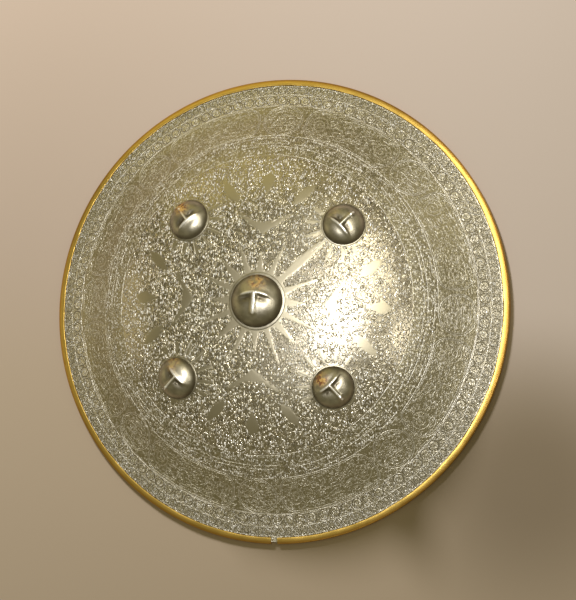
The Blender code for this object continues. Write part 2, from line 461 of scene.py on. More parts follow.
@dataclass(frozen=True)
class Ornament:
    """The layout of the engraved face, in shares of the shield's radius and degrees."""

    radius: float = 0.225
    border_outer: float = 0.969
    border_inner: float = 0.927
    border_cells: float = 190.0
    chain_cells: float = 112.0
    dash_cells: float = 184.0
    chain_inner: float = 0.8755
    panel_outer: float = 0.8715
    panel_inner: float = 0.7225
    step_lines: tuple[float, ...] = (0.710, 0.684, 0.6695)
    field_edge: float = 0.629
    medallion_arc: float = 0.085
    panel_half: float = 0.0735
    cartouche_arc: float = 0.2108
    cartouche_corner: float = 0.058
    ground_depth: float = 0.00015
    line_depth: float = 0.00010
    line_half: float = 0.0031
    relief_edge: float = 0.0032
    panel_cut: float = 0.45
    chain_cut: float = 0.55
    dash_cut: float = 0.5
    arch_lean: float = 36.0
    arch_tip: float = 0.280
    arch_top: float = 0.331
    arch_reach: float = 0.112
    arm_width: float = 0.024
    rays: tuple[tuple[float, float], ...] = (
        (0.205, 0.0205),
        (0.272, 0.0150),
        (0.240, 0.0215),
        (0.272, 0.0150),
    )
    boss_circle: float = 0.4711
    boss_foot: float = 0.0925
    center_foot: float = 0.120

    @property
    def panel_middle(self) -> float:
        """The middle of the band of cartouches."""
        return (self.panel_outer + self.panel_inner) / 2

    @property
    def ring_lines(self) -> tuple[float, ...]:
        """Every line that runs right round."""
        return (
            self.border_inner,
            self.chain_inner,
            self.panel_outer,
            self.panel_inner,
            *self.step_lines,
            self.field_edge,
        )

    def leaves(self) -> list[Leaf]:
        """Return every plain leaf of the central field."""
        found = []
        for index in range(16):
            azimuth = 22.5 * index
            tip, width = self.rays[index % 4]
            found.append(Leaf(polar(0.095, azimuth), polar(tip, azimuth), width, LeafShape.RAY))
        found.append(Leaf(polar(0.120, 45.0), polar(0.372, 45.0), 0.0190, LeafShape.LENS))
        for index in range(4):
            axis = 90.0 * index
            found.append(Leaf(polar(0.445, axis), polar(0.548, axis), 0.026, LeafShape.DROP))
            for side in (-1.0, 1.0):
                start = polar(0.430, axis + side * 16.0)
                tip = polar(0.535, axis + side * 21.5)
                found.append(Leaf(start, tip, 0.0200, LeafShape.LENS))
            found.extend(self.petals(axis + 45.0))
        return found

    def petals(self, azimuth: float) -> list[Leaf]:
        """Return the fan of narrow leaves on an outer boss's inner side.

        Args:
            azimuth: The boss's azimuth, in degrees.

        Returns:
            The leaves, longest in the middle of the fan.
        """
        middle = polar(self.boss_circle, azimuth)
        fan = []
        for turn in (-72.0, -48.0, -24.0, 0.0, 24.0, 48.0, 72.0):
            out = polar(1.0, azimuth + 180.0 + turn)
            near, far = 0.094, 0.172 - 0.012 * abs(turn) / 36.0
            start = (middle[0] + near * out[0], middle[1] + near * out[1])
            tip = (middle[0] + far * out[0], middle[1] + far * out[1])
            fan.append(Leaf(start, tip, 0.0072, LeafShape.LENS))
        return fan

    def arch_distance(self, x: np.ndarray, y: np.ndarray) -> np.ndarray:
        """Return the distance to the pointed arches that face the middle on each axis.

        Args:
            x: Places to the right of the axis, as shares of the radius.
            y: Places above the axis, as shares of the radius.

        Returns:
            The distances, below zero inside an arch.
        """
        best = np.full(np.shape(x), 1.0)
        for index in range(4):
            out = polar(1.0, 90.0 * index)
            along = x * out[0] + y * out[1]
            across = np.abs(x * out[1] - y * out[0])
            lean = math.radians(self.arch_lean)
            under = self.arch_tip + across * math.tan(lean)
            share = np.clip(across / self.arch_reach, 0.0, 1.0)
            top = np.maximum(self.arch_top, under + self.arm_width * np.sqrt(1.0 - share**2))
            arch = np.maximum((under - along) * math.cos(lean), along - top)
            best = np.minimum(best, np.maximum(arch, across - self.arch_reach))
        return best

    def plain_distance(self, x: np.ndarray, y: np.ndarray) -> np.ndarray:
        """Return the distance to the plain forms of the central field.

        Args:
            x: Places to the right of the axis, in metres.
            y: Places above the axis, in metres.

        Returns:
            The distances in metres, below zero inside a plain form.
        """
        u, v = x / self.radius, y / self.radius
        best = self.arch_distance(u, v)
        for leaf in self.leaves():
            best = np.minimum(best, leaf.distance(u, v))
        best = np.minimum(best, np.hypot(u, v) - self.center_foot - 0.008)
        for index in range(4):
            middle = polar(self.boss_circle, 45.0 + 90.0 * index)
            best = np.minimum(best, np.hypot(u - middle[0], v - middle[1]) - self.boss_foot)
        return best * self.radius

    def frame_distance(self, x: np.ndarray, y: np.ndarray) -> np.ndarray:
        """Return the distance to the outlines of the cartouches and medallions.

        Args:
            x: Places to the right of the axis, in metres.
            y: Places above the axis, in metres.

        Returns:
            The distances in metres, below zero inside an outline.
        """
        share = np.hypot(x, y) / self.radius
        turn = np.arctan2(y, x)
        eighth = math.pi / 4
        v = share - self.panel_middle
        u = (np.mod(turn + eighth / 2, eighth) - eighth / 2) * self.panel_middle
        a, b = self.medallion_arc, self.panel_half
        k = np.hypot(u / a, v / b)
        g = np.hypot(u / a**2, v / b**2)
        medallion = k * (k - 1.0) / np.maximum(g, 1e-6)
        u = np.abs((np.mod(turn, eighth) - eighth / 2) * self.panel_middle)
        corner = self.cartouche_corner
        dx = u - (self.cartouche_arc - corner)
        dy = np.abs(v) - (self.panel_half - corner)
        outside = np.hypot(np.maximum(dx, 0.0), np.maximum(dy, 0.0))
        cartouche = outside + np.minimum(np.maximum(dx, dy), 0.0) - corner
        return np.minimum(medallion, cartouche) * self.radius

    def relief(self, x: np.ndarray, y: np.ndarray) -> np.ndarray:
        """Return how far the face is cut back or stands proud.

        Args:
            x: Places to the right of the axis, in metres.
            y: Places above the axis, in metres.

        Returns:
            The distances along the face's direction, in metres, at most zero.
        """
        share = np.hypot(x, y) / self.radius
        edge = self.relief_edge
        plain = smoothstep(self.plain_distance(x, y) / self.radius, -0.0012, edge)
        in_field = 1.0 - smoothstep(share, self.field_edge - edge, self.field_edge)
        cut = in_field * plain
        inside = 1.0 - smoothstep(self.frame_distance(x, y) / self.radius, -edge, 0.0)
        in_band = smoothstep(share, self.panel_inner - 0.001, self.panel_inner)
        in_band = in_band * (1.0 - smoothstep(share, self.panel_outer, self.panel_outer + 0.001))
        cut = cut + self.panel_cut * inside * in_band
        chain = smoothstep(share, self.chain_inner, self.chain_inner + edge)
        cut = cut + self.chain_cut * chain
        dashes = smoothstep(share, self.field_edge, self.field_edge + edge)
        dashes = dashes * (1.0 - smoothstep(share, self.step_lines[2] - edge, self.step_lines[2]))
        cut = cut + self.dash_cut * dashes
        height = -self.ground_depth * np.minimum(cut, 1.0)
        for line in self.ring_lines:
            groove = 1.0 - smoothstep(np.abs(share - line), 0.0, self.line_half)
            height = np.minimum(height, -self.line_depth * groove)
        return height


# Finishes


class Wiring:
    """Adds nodes to one tree and joins them, so that a finish reads like a sum."""

    def __init__(self, tree: bpy.types.NodeTree) -> None:
        """Work on a tree.

        Args:
            tree: The node tree that the nodes go into.
        """
        self.tree = tree

    def feed(self, socket: bpy.types.NodeSocket, value: Feed) -> None:
        """Join a socket to another one, or set its value.

        Args:
            socket: The input.
            value: An output to join to it, or the input's own value.
        """
        if isinstance(value, bpy.types.NodeSocket):
            self.tree.links.new(value, socket)
        elif socket.type == "RGBA":
            socket.default_value = (*value[:3], 1.0)
        else:
            socket.default_value = value

    def add(self, kind: str, feeds: dict[Union[str, int], Feed], **settings) -> bpy.types.Node:
        """Add a node.

        Args:
            kind: The node's kind.
            feeds: Its inputs, by name or place.
            settings: Its own settings.

        Returns:
            The node.
        """
        node = self.tree.nodes.new(kind)
        for name, value in settings.items():
            setattr(node, name, value)
        for key, value in feeds.items():
            self.feed(node.inputs[key], value)
        return node

    def math(
        self, operation: str, first: Feed, second: Feed = 0.0, third: Feed = 0.0
    ) -> bpy.types.NodeSocket:
        """Return the result of a sum on two or three numbers."""
        feeds = {0: first, 1: second, 2: third}
        return self.add("ShaderNodeMath", feeds, operation=operation).outputs[0]

    def plus(self, first: Feed, second: Feed) -> bpy.types.NodeSocket:
        """Return the first number plus the second."""
        return self.math("ADD", first, second)

    def minus(self, first: Feed, second: Feed) -> bpy.types.NodeSocket:
        """Return the first number less the second."""
        return self.math("SUBTRACT", first, second)

    def times(self, first: Feed, second: Feed) -> bpy.types.NodeSocket:
        """Return the first number times the second."""
        return self.math("MULTIPLY", first, second)

    def size(self, first: Feed) -> bpy.types.NodeSocket:
        """Return a number without its sign."""
        return self.math("ABSOLUTE", first)

    def most(self, first: Feed, second: Feed) -> bpy.types.NodeSocket:
        """Return the larger of two numbers."""
        return self.math("MAXIMUM", first, second)

    def length(self, across: Feed, along: Feed) -> bpy.types.NodeSocket:
        """Return the length of a flat step."""
        step = self.add("ShaderNodeCombineXYZ", {0: across, 1: along}).outputs[0]
        return self.add("ShaderNodeVectorMath", {0: step}, operation="LENGTH").outputs["Value"]

    def pair(self, across: Feed, along: Feed, up: Feed = 0.0) -> bpy.types.NodeSocket:
        """Return numbers as one vector."""
        return self.add("ShaderNodeCombineXYZ", {0: across, 1: along, 2: up}).outputs[0]

    def rise(self, value: Feed, low: float, high: float) -> bpy.types.NodeSocket:
        """Return 0 below low and 1 above high, with a smooth rise between."""
        feeds = {"Value": value, "From Min": low, "From Max": high}
        node = self.add("ShaderNodeMapRange", feeds, interpolation_type="SMOOTHSTEP")
        return node.outputs[0]

    def fall(self, value: Feed, low: float, high: float) -> bpy.types.NodeSocket:
        """Return 1 below low and 0 above high, with a smooth fall between."""
        feeds = {"Value": value, "From Min": low, "From Max": high, "To Min": 1.0, "To Max": 0.0}
        node = self.add("ShaderNodeMapRange", feeds, interpolation_type="SMOOTHSTEP")
        return node.outputs[0]

    def band(self, value: Feed, low: float, high: float, soft: float) -> bpy.types.NodeSocket:
        """Return 1 between low and high and 0 outside, with soft edges."""
        return self.times(
            self.rise(value, low - soft, low + soft), self.fall(value, high - soft, high + soft)
        )

    def mix(self, share: Feed, first: Feed, second: Feed) -> bpy.types.NodeSocket:
        """Return a colour between two colours."""
        node = self.add("ShaderNodeMix", {}, data_type="RGBA", clamp_factor=True)
        self.feed(node.inputs[0], share)
        self.feed(node.inputs[6], first)
        self.feed(node.inputs[7], second)
        return node.outputs[2]

    def noise(
        self, place: Feed, scale: float, detail: float = 2.0, sides: str = "3D"
    ) -> bpy.types.NodeSocket:
        """Return a cloudy value from 0 to 1."""
        feeds = {"Vector": place, "Scale": scale, "Detail": detail}
        return self.add("ShaderNodeTexNoise", feeds, noise_dimensions=sides).outputs[0]

    def around(self, dial: bpy.types.Node, turns: float, up: Feed) -> bpy.types.NodeSocket:
        """Return a place that runs evenly round the shield, for a pattern with no seam."""
        east = self.times(dial.outputs["East"], turns)
        return self.pair(east, self.times(dial.outputs["North"], turns), up)

    def attribute(self, name: str) -> bpy.types.NodeSocket:
        """Return a number that the mesh carries."""
        node = self.add("ShaderNodeAttribute", {}, attribute_name=name)
        return node.outputs["Fac"]

    def group(self, tree: bpy.types.NodeTree, feeds: dict[str, Feed]) -> bpy.types.Node:
        """Place a shared effect."""
        node = self.tree.nodes.new("ShaderNodeGroup")
        node.node_tree = tree
        for key, value in feeds.items():
            self.feed(node.inputs[key], value)
        return node


def new_group(
    name: str, inputs: dict[str, tuple[str, float]], outputs: Sequence[str]
) -> tuple[Wiring, bpy.types.Node, bpy.types.Node]:
    """Start a shared effect.

    Args:
        name: The group's name.
        inputs: Each input's name with its kind and first value.
        outputs: The names of the outputs, which are all plain numbers.

    Returns:
        The wiring, the node of the group's inputs and the node of its outputs.
    """
    tree = bpy.data.node_groups.new(name, "ShaderNodeTree")
    for label, (kind, value) in inputs.items():
        socket = tree.interface.new_socket(label, in_out="INPUT", socket_type=kind)
        if kind == "NodeSocketFloat":
            socket.default_value = value
    for label in outputs:
        tree.interface.new_socket(label, in_out="OUTPUT", socket_type="NodeSocketFloat")
    return Wiring(tree), tree.nodes.new("NodeGroupInput"), tree.nodes.new("NodeGroupOutput")


class Effects:
    """The shared effects, each built once."""

    def __init__(self) -> None:
        """Build every shared effect."""
        self.dial = self._dial()
        self.cells = self._cells()
        self.stroke = self._stroke()
        self.punched = self._punched()
        self.scroll = self._scroll()
        self.wear = self._wear()

    def _dial(self) -> bpy.types.NodeTree:
        """Build the effect that gives the radius in millimetres and the azimuth in radians."""
        w, _, out = new_group("dial", {}, ("Radius", "Azimuth", "Across", "Upward", "East", "North"))
        place = w.add("ShaderNodeTexCoord", {}).outputs["Object"]
        parts = w.add("ShaderNodeSeparateXYZ", {0: place})
        x = w.times(parts.outputs[0], PER_MM)
        y = w.times(parts.outputs[1], PER_MM)
        radius = w.length(x, y)
        w.feed(out.inputs["Radius"], radius)
        w.feed(out.inputs["East"], w.math("DIVIDE", x, radius))
        w.feed(out.inputs["North"], w.math("DIVIDE", y, radius))
        w.feed(out.inputs["Azimuth"], w.math("ARCTAN2", y, x))
        w.feed(out.inputs["Across"], x)
        w.feed(out.inputs["Upward"], y)
        return w.tree

    def _cells(self) -> bpy.types.NodeTree:
        """Build the effect that splits a ring into equal cells with their own places."""
        names = ("Radius", "Azimuth", "Count", "Middle", "Phase")
        w, given, out = new_group(
            "ring_cells",
            {name: ("NodeSocketFloat", 1.0) for name in names},
            ("Sideways", "Outward", "Number"),
        )
        turns = w.math("DIVIDE", w.times(given.outputs["Azimuth"], given.outputs["Count"]), math.tau)
        turns = w.plus(turns, given.outputs["Phase"])
        inside = w.minus(w.math("FRACT", turns), 0.5)
        width = w.math("DIVIDE", w.times(given.outputs["Middle"], math.tau), given.outputs["Count"])
        w.feed(out.inputs["Sideways"], w.times(inside, width))
        w.feed(out.inputs["Outward"], w.minus(given.outputs["Radius"], given.outputs["Middle"]))
        w.feed(out.inputs["Number"], w.math("FLOOR", turns))
        return w.tree

    def _stroke(self) -> bpy.types.NodeTree:
        """Build the effect that turns a distance into one cut line."""
        names = {"Distance": ("NodeSocketFloat", 0.0), "Width": ("NodeSocketFloat", 0.5)}
        w, given, out = new_group("stroke", names, ("Mask",))
        share = w.math("DIVIDE", w.size(given.outputs["Distance"]), given.outputs["Width"])
        w.feed(out.inputs["Mask"], w.fall(share, 0.25, 1.0))
        return w.tree

    def _punched(self) -> bpy.types.NodeTree:
        """Build the punched ground: crowded small dots, some raised and some sunk, and thin curls, with
        a mask of the dots and curls to be painted as glints.
        """
        names = {
            "Across": ("NodeSocketFloat", 0.0),
            "Upward": ("NodeSocketFloat", 0.0),
            "Cell": ("NodeSocketFloat", 2.6),
            "Wander": ("NodeSocketFloat", 1.0),
        }
        w, given, out = new_group("punched_ground", names, ("Height", "Foot", "Glint"))
        x = w.math("DIVIDE", given.outputs["Across"], w.times(given.outputs["Cell"], 0.82))
        y = w.math("DIVIDE", given.outputs["Upward"], w.times(given.outputs["Cell"], 1.22))
        flat = w.pair(x, y)
        sway = w.add(
            "ShaderNodeTexNoise",
            {"Vector": flat, "Scale": 0.8, "Detail": 1.0},
            noise_dimensions="2D",
        ).outputs[1]
        sway = w.add("ShaderNodeVectorMath", {0: sway, 1: (0.5, 0.5, 0.5)}, operation="SUBTRACT")
        push = w.add("ShaderNodeVectorMath", {0: sway.outputs[0]}, operation="SCALE")
        w.feed(push.inputs["Scale"], given.outputs["Wander"])
        moved = w.add("ShaderNodeVectorMath", {0: flat, 1: push.outputs[0]}, operation="ADD")
        cells = w.add(
            "ShaderNodeTexVoronoi",
            {"Vector": moved.outputs[0], "Scale": 1.0, "Randomness": 1.0},
            voronoi_dimensions="2D",
            feature="F1",
        )
        chance = w.add("ShaderNodeSeparateColor", {0: cells.outputs["Color"]}).outputs[0]
        raised = w.rise(chance, 0.24, 0.32)
        dot = w.fall(cells.outputs["Distance"], 0.10, 0.46)
        curl = w.noise(moved.outputs[0], 0.9, 0.0, "2D")
        line = w.fall(w.size(w.minus(curl, 0.5)), 0.0, 0.07)
        patch = w.rise(w.noise(flat, 0.30, 2.0, "2D"), 0.34, 0.62)
        strong = w.plus(0.45, w.times(patch, 0.55))
        height = w.most(w.times(dot, w.minus(w.times(raised, 1.7), 0.7)), w.times(line, 0.6))
        w.feed(out.inputs["Height"], w.times(height, strong))
        between = w.times(w.rise(cells.outputs["Distance"], 0.42, 0.64), 0.42)
        w.feed(out.inputs["Foot"], w.times(w.most(w.times(dot, w.minus(1.0, raised)), between), strong))
        # Glint: the dots and curls that the finish paints near-white, a painted glint.
        glint_dots = w.times(w.fall(cells.outputs["Distance"], 0.18, 0.38), w.rise(chance, 0.52, 0.57))
        w.feed(out.inputs["Glint"], w.times(w.most(glint_dots, w.times(line, 0.55)), strong))
        return w.tree

    def _scroll(self) -> bpy.types.NodeTree:
        """Build a spiral line that winds inside a given radius."""
        names = {
            "Sideways": ("NodeSocketFloat", 0.0),
            "Outward": ("NodeSocketFloat", 0.0),
            "Pitch": ("NodeSocketFloat", 3.0),
            "Reach": ("NodeSocketFloat", 8.0),
        }
        w, given, out = new_group("scroll", names, ("Mask",))
        u, v = given.outputs["Sideways"], given.outputs["Outward"]
        far = w.length(u, v)
        turn = w.math("DIVIDE", w.math("ARCTAN2", v, u), math.tau)
        step = w.math("FRACT", w.plus(w.math("DIVIDE", far, given.outputs["Pitch"]), turn))
        line = w.fall(w.size(w.minus(step, 0.5)), 0.05, 0.17)
        inside = w.fall(w.math("DIVIDE", far, given.outputs["Reach"]), 0.93, 1.0)
        w.feed(out.inputs["Mask"], w.times(line, inside))
        return w.tree

    def _wear(self) -> bpy.types.NodeTree:
        """Build the cloudy patina, the fine specks and the scratches of handled metal."""
        names = {"Clouds": ("NodeSocketFloat", 20.0)}
        w, given, out = new_group("wear", names, ("Patina", "Specks", "Scratches"))
        place = w.add("ShaderNodeTexCoord", {}).outputs["Object"]
        clouds = w.add("ShaderNodeTexNoise", {"Vector": place, "Detail": 4.0, "Roughness": 0.6})
        w.feed(clouds.inputs["Scale"], given.outputs["Clouds"])
        w.feed(out.inputs["Patina"], w.rise(clouds.outputs[0], 0.32, 0.68))
        w.feed(out.inputs["Specks"], w.rise(w.noise(place, 700.0, 2.0), 0.55, 0.75))
        lines = None
        for turn in (0.3, 1.9, 2.6):
            feeds = {"Vector": place, "Rotation": (0.0, 0.0, turn), "Scale": (8.0, 420.0, 420.0)}
            bent = w.add("ShaderNodeMapping", feeds).outputs[0]
            line = w.rise(w.noise(bent, 1.0, 1.0), 0.66, 0.74)
            lines = line if lines is None else w.most(lines, line)
        w.feed(out.inputs["Scratches"], lines)
        return w.tree


def new_finish(
    name: str, color: Color, roughness: float, metallic: float
) -> tuple[Wiring, bpy.types.Node]:
    """Start a material.

    Args:
        name: The material's name.
        color: The colour it has where nothing changes it.
        roughness: The same for roughness.
        metallic: The same for metal.

    Returns:
        The wiring and the shader.
    """
    material = bpy.data.materials.new(name)
    material.use_nodes = True
    material.diffuse_color = (*color, 1.0)
    shader = material.node_tree.nodes["Principled BSDF"]
    shader.inputs["Base Color"].default_value = (*color, 1.0)
    shader.inputs["Roughness"].default_value = roughness
    shader.inputs["Metallic"].default_value = metallic
    return Wiring(material.node_tree), shader


def bumped(w: Wiring, shader: bpy.types.Node, height: Feed) -> None:
    """Give a shader small forms whose height is in millimetres.

    Args:
        w: The material's wiring.
        shader: The material's shader.
        height: The height in millimetres.
    """
    bump = w.add("ShaderNodeBump", {"Strength": 1.0, "Distance": 1.0 / PER_MM, "Height": height})
    w.feed(shader.inputs["Normal"], bump.outputs["Normal"])


@dataclass(frozen=True)
class EngravedSteel:
    """The front of the plate: plain forms, cut lines and punched ground, with painted glints on the
    ground and a painted sheen on the lip.
    """

    effects: Effects
    ornament: Ornament
    plain: Color = (0.56, 0.505, 0.39)
    form: Color = (0.47, 0.425, 0.315)
    ground: Color = (0.13, 0.11, 0.075)
    worn_and_highlight: Color = (0.99, 0.98, 0.96)
    lip: Color = (0.82, 0.77, 0.64)
    band: Color = (0.42, 0.375, 0.24)
    tarnish: Color = (0.43, 0.395, 0.30)
    roughness: float = 0.34
    burnish: float = 0.11
    fan_step: float = math.radians(13.0)
    fan_reach: float = 37.0

    def _in_mm(self, share: float) -> float:
        """Return a share of the shield's radius in millimetres."""
        return share * self.ornament.radius * PER_MM

    def _rings(self, w: Wiring, dial: bpy.types.Node) -> bpy.types.NodeSocket:
        """Return the mask of the lines that run right round, cut by hand and so uneven."""
        mask = None
        for index, line in enumerate(self.ornament.ring_lines):
            uneven = w.noise(w.around(dial, 14.0, 3.1 * index), 1.0, 2.0)
            sway = w.times(w.minus(uneven, 0.5), 0.9)
            distance = w.minus(w.minus(dial.outputs["Radius"], self._in_mm(line)), sway)
            cut = w.times(self._stroke(w, distance, 0.50), w.rise(uneven, 0.40, 0.56))
            mask = cut if mask is None else w.most(mask, cut)
        return mask

    def _hatch(self, w: Wiring, dial: bpy.types.Node) -> bpy.types.NodeSocket:
        """Return the fine broken strokes that follow the turn of the shield."""
        plan = self.ornament
        radius = dial.outputs["Radius"]
        long = w.noise(w.around(dial, 17.0, w.times(radius, 0.62)), 1.0, 1.0)
        line = w.fall(w.size(w.minus(long, 0.5)), 0.0, 0.035)
        broken = w.rise(w.noise(w.around(dial, 40.0, w.times(radius, 0.45)), 1.0, 0.0), 0.46, 0.56)
        steps = w.band(radius, self._in_mm(plan.step_lines[2]), self._in_mm(plan.panel_inner), 0.4)
        panel = w.band(radius, self._in_mm(plan.panel_inner), self._in_mm(plan.panel_outer), 0.4)
        return w.times(w.times(line, broken), w.plus(steps, w.times(panel, 0.45)))

    def _stroke(self, w: Wiring, distance: Feed, width: float) -> bpy.types.NodeSocket:
        """Return the mask of a line of one width."""
        feeds = {"Distance": distance, "Width": width}
        return w.group(self.effects.stroke, feeds).outputs[0]

    def _ring_cells(
        self, w: Wiring, radius: Feed, azimuth: Feed, count: float, low: float, high: float
    ) -> tuple[bpy.types.NodeSocket, ...]:
        """Split a ring into cells.

        Args:
            w: The material's wiring.
            radius: The radius in millimetres.
            azimuth: The azimuth in radians.
            count: The number of cells.
            low: The ring's inner edge, as a share of the shield's radius.
            high: Its outer edge.

        Returns:
            The places sideways and outward in a cell, the cell's number and the ring's mask.
        """
        middle = self._in_mm((low + high) / 2)
        feeds = {"Radius": radius, "Azimuth": azimuth, "Count": count, "Middle": middle, "Phase": 0.0}
        cell = w.group(self.effects.cells, feeds)
        mask = w.band(radius, self._in_mm(low) + 0.4, self._in_mm(high) - 0.4, 0.2)
        return cell.outputs[0], cell.outputs[1], cell.outputs[2], mask

    def _lace(self, w: Wiring, flat: Feed, scale: float) -> bpy.types.NodeSocket:
        """Return the thin dark lines of small crowded curls."""
        curl = w.noise(flat, scale, 1.0, "2D")
        near = w.size(w.minus(w.math("FRACT", w.times(curl, 7.0)), 0.5))
        return w.fall(near, 0.04, 0.16)

    def _chain(self, w: Wiring, radius: Feed, azimuth: Feed, flat: Feed) -> bpy.types.NodeSocket:
        """Return the lines of the chain of circles, rosettes and scrolls."""
        plan = self.ornament
        u, v, number, mask = self._ring_cells(
            w, radius, azimuth, plan.chain_cells, plan.chain_inner, plan.border_inner
        )
        far = w.length(u, v)
        circle = self._stroke(w, w.minus(far, 4.6), 0.75)
        angle = w.math("ARCTAN2", v, u)
        wave = w.times(w.math("COSINE", w.times(angle, 5.0)), 0.9)
        rosette = self._stroke(w, w.minus(w.minus(far, 2.4), wave), 0.6)
        scroll = w.group(
            self.effects.scroll, {"Sideways": u, "Outward": v, "Pitch": 2.9, "Reach": 3.9}
        ).outputs[0]
        even = w.rise(w.math("FRACT", w.times(number, 0.5)), 0.2, 0.3)
        inner = w.plus(w.times(rosette, even), w.times(scroll, w.minus(1.0, even)))
        lace = w.times(self._lace(w, flat, 0.50), w.rise(far, 4.9, 5.3))
        return w.times(w.most(w.most(circle, inner), lace), mask)

    def _border(self, w: Wiring, radius: Feed, azimuth: Feed, flat: Feed) -> bpy.types.NodeSocket:
        """Return the lines of the row of curled leaves along the binding."""
        plan = self.ornament
        u, v, _, mask = self._ring_cells(
            w, radius, azimuth, plan.border_cells, plan.border_inner, plan.border_outer
        )
        outline = self._stroke(w, w.minus(w.length(u, w.times(v, 0.72)), 2.7), 0.75)
        lace = self._lace(w, flat, 0.55)
        return w.times(w.most(w.times(outline, 0.8), lace), mask)

    def _fans(self, w: Wiring, dial: bpy.types.Node) -> bpy.types.NodeSocket:
        """Return the thin strokes that fan out from each outer boss towards the middle."""
        plan = self.ornament
        corner = self._in_mm(plan.boss_circle) * math.cos(math.pi / 4)
        dx = w.minus(w.size(dial.outputs["Across"]), corner)
        dy = w.minus(w.size(dial.outputs["Upward"]), corner)
        far = w.length(dx, dy)
        inward = w.plus(w.math("ARCTAN2", w.times(dy, -1.0), w.times(dx, -1.0)), -math.pi / 4)
        turns = w.plus(w.math("DIVIDE", inward, self.fan_step), 0.5)
        aside = w.times(w.minus(w.math("FRACT", turns), 0.5), w.times(far, self.fan_step))
        near = w.band(far, self._in_mm(plan.boss_foot) + 1.5, self.fan_reach, 1.5)
        near = w.times(near, w.fall(w.size(inward), 1.0, 1.25))
        return w.times(w.times(self._stroke(w, aside, 0.55), near), 0.8)

    def _dashes(self, w: Wiring, radius: Feed, azimuth: Feed) -> bpy.types.NodeSocket:
        """Return the band of small slanted strokes round the field."""
        plan = self.ornament
        u, v, _, mask = self._ring_cells(
            w, radius, azimuth, plan.dash_cells, plan.field_edge, plan.step_lines[2]
        )
        slanted = w.plus(u, w.times(v, 0.55))
        return w.times(w.times(self._stroke(w, slanted, 0.7), w.fall(w.size(v), 2.2, 3.2)), mask)

    def _panels(self, w: Wiring, radius: Feed, azimuth: Feed, inside: Feed) -> bpy.types.NodeSocket:
        """Return what fills the cartouches and the medallions.

        The cartouches hold rows of shallow strokes with a scroll at each end, and the
        medallions a rosette in a ring of scrolls.
        """
        plan = self.ornament
        middle = self._in_mm(plan.panel_middle)
        base = {"Radius": radius, "Azimuth": azimuth, "Count": 8.0, "Middle": middle}
        long_cell = w.group(self.effects.cells, {**base, "Phase": 0.0})
        round_cell = w.group(self.effects.cells, {**base, "Phase": 0.5})
        u, v = long_cell.outputs[0], long_cell.outputs[1]
        beside = w.size(u)
        near_end = w.minus(beside, 33.5)
        scroll = w.group(
            self.effects.scroll, {"Sideways": near_end, "Outward": v, "Pitch": 3.6, "Reach": 9.5}
        ).outputs[0]
        open_part = w.rise(w.length(near_end, v), 10.0, 11.0)
        flat = w.pair(w.times(u, 0.07), w.times(v, 0.30), long_cell.outputs[2])
        sway = w.noise(flat, 1.0, 1.0)
        height = w.plus(w.plus(v, w.times(u, 0.17)), w.times(sway, 9.0))
        row = w.minus(w.math("FRACT", w.math("DIVIDE", height, 2.7)), 0.5)
        rows = w.fall(w.size(row), 0.06, 0.17)
        pieces = w.noise(w.pair(w.times(u, 0.16), w.times(v, 0.36), long_cell.outputs[2]), 1.0, 0.0)
        rows = w.times(rows, w.rise(pieces, 0.47, 0.53))
        strokes = w.times(rows, open_part)
        a, b = round_cell.outputs[0], round_cell.outputs[1]
        far = w.length(a, b)
        angle = w.math("ARCTAN2", b, a)
        petals = w.times(w.math("COSINE", w.times(angle, 8.0)), 1.5)
        rosette = self._stroke(w, w.minus(w.minus(far, 6.2), petals), 0.6)
        ring = self._stroke(w, w.minus(far, 2.6), 0.6)
        whirl = w.group(
            self.effects.scroll, {"Sideways": a, "Outward": b, "Pitch": 2.6, "Reach": 14.5}
        ).outputs[0]
        whirl = w.times(whirl, w.rise(far, 9.6, 10.4))
        whirl = w.times(whirl, w.rise(w.math("COSINE", w.times(angle, 12.0)), -0.1, 0.3))
        medallion = w.times(w.most(w.most(rosette, ring), whirl), w.fall(far, 16.5, 17.5))
        return w.times(w.most(w.most(w.times(scroll, 0.6), strokes), medallion), inside)

    def material(self) -> bpy.types.Material:
        """Return the finish of the plate's front."""
        plan = self.ornament
        w, shader = new_finish("engraved_steel_front", self.plain, self.roughness, 1.0)
        dial = w.group(self.effects.dial, {})
        radius, azimuth = dial.outputs["Radius"], dial.outputs["Azimuth"]
        place = {"Across": dial.outputs["Across"], "Upward": dial.outputs["Upward"]}
        flat = w.pair(dial.outputs["Across"], dial.outputs["Upward"])
        wobble = w.times(w.minus(w.noise(flat, 0.38, 2.0, "2D"), 0.5), 3.6)
        plain_edge = w.plus(w.attribute("plain_edge"), wobble)
        frame_edge = w.plus(w.attribute("frame_edge"), w.times(wobble, 0.2))
        edge = self._in_mm(plan.field_edge)
        in_field = w.fall(radius, edge - 0.8, edge - 0.4)
        cut = w.times(in_field, w.rise(plain_edge, -0.5, 1.1))
        inside = w.fall(frame_edge, -1.6, -1.2)
        in_band = w.band(radius, self._in_mm(plan.panel_inner), self._in_mm(plan.panel_outer), 0.1)
        lines = self._rings(w, dial)
        inner_frame = self._stroke(w, w.plus(frame_edge, 1.5), 0.35)
        frames = w.times(w.most(self._stroke(w, frame_edge, 0.5), inner_frame), in_band)
        chain = self._chain(w, radius, azimuth, flat)
        border = self._border(w, radius, azimuth, flat)
        dashes = self._dashes(w, radius, azimuth)
        panels = self._panels(w, radius, azimuth, w.times(inside, in_band))
        deep = w.most(chain, border)
        fine = w.most(w.most(w.times(dashes, 0.4), w.times(panels, 0.85)), self._hatch(w, dial))
        bold = w.most(w.most(lines, frames), self._fans(w, dial))
        ground = w.group(self.effects.punched, {**place, "Cell": 2.8, "Wander": 1.2})
        small = w.group(self.effects.punched, {**place, "Cell": 2.4, "Wander": 0.8})
        steps = w.band(radius, self._in_mm(plan.field_edge), self._in_mm(plan.panel_inner), 0.3)
        lacy = w.rise(radius, self._in_mm(plan.chain_inner), self._in_mm(plan.chain_inner) + 0.5)
        small_share = w.plus(w.times(in_band, 0.30), w.times(steps, 0.60))
        small_share = w.plus(w.times(lacy, 0.62), small_share)
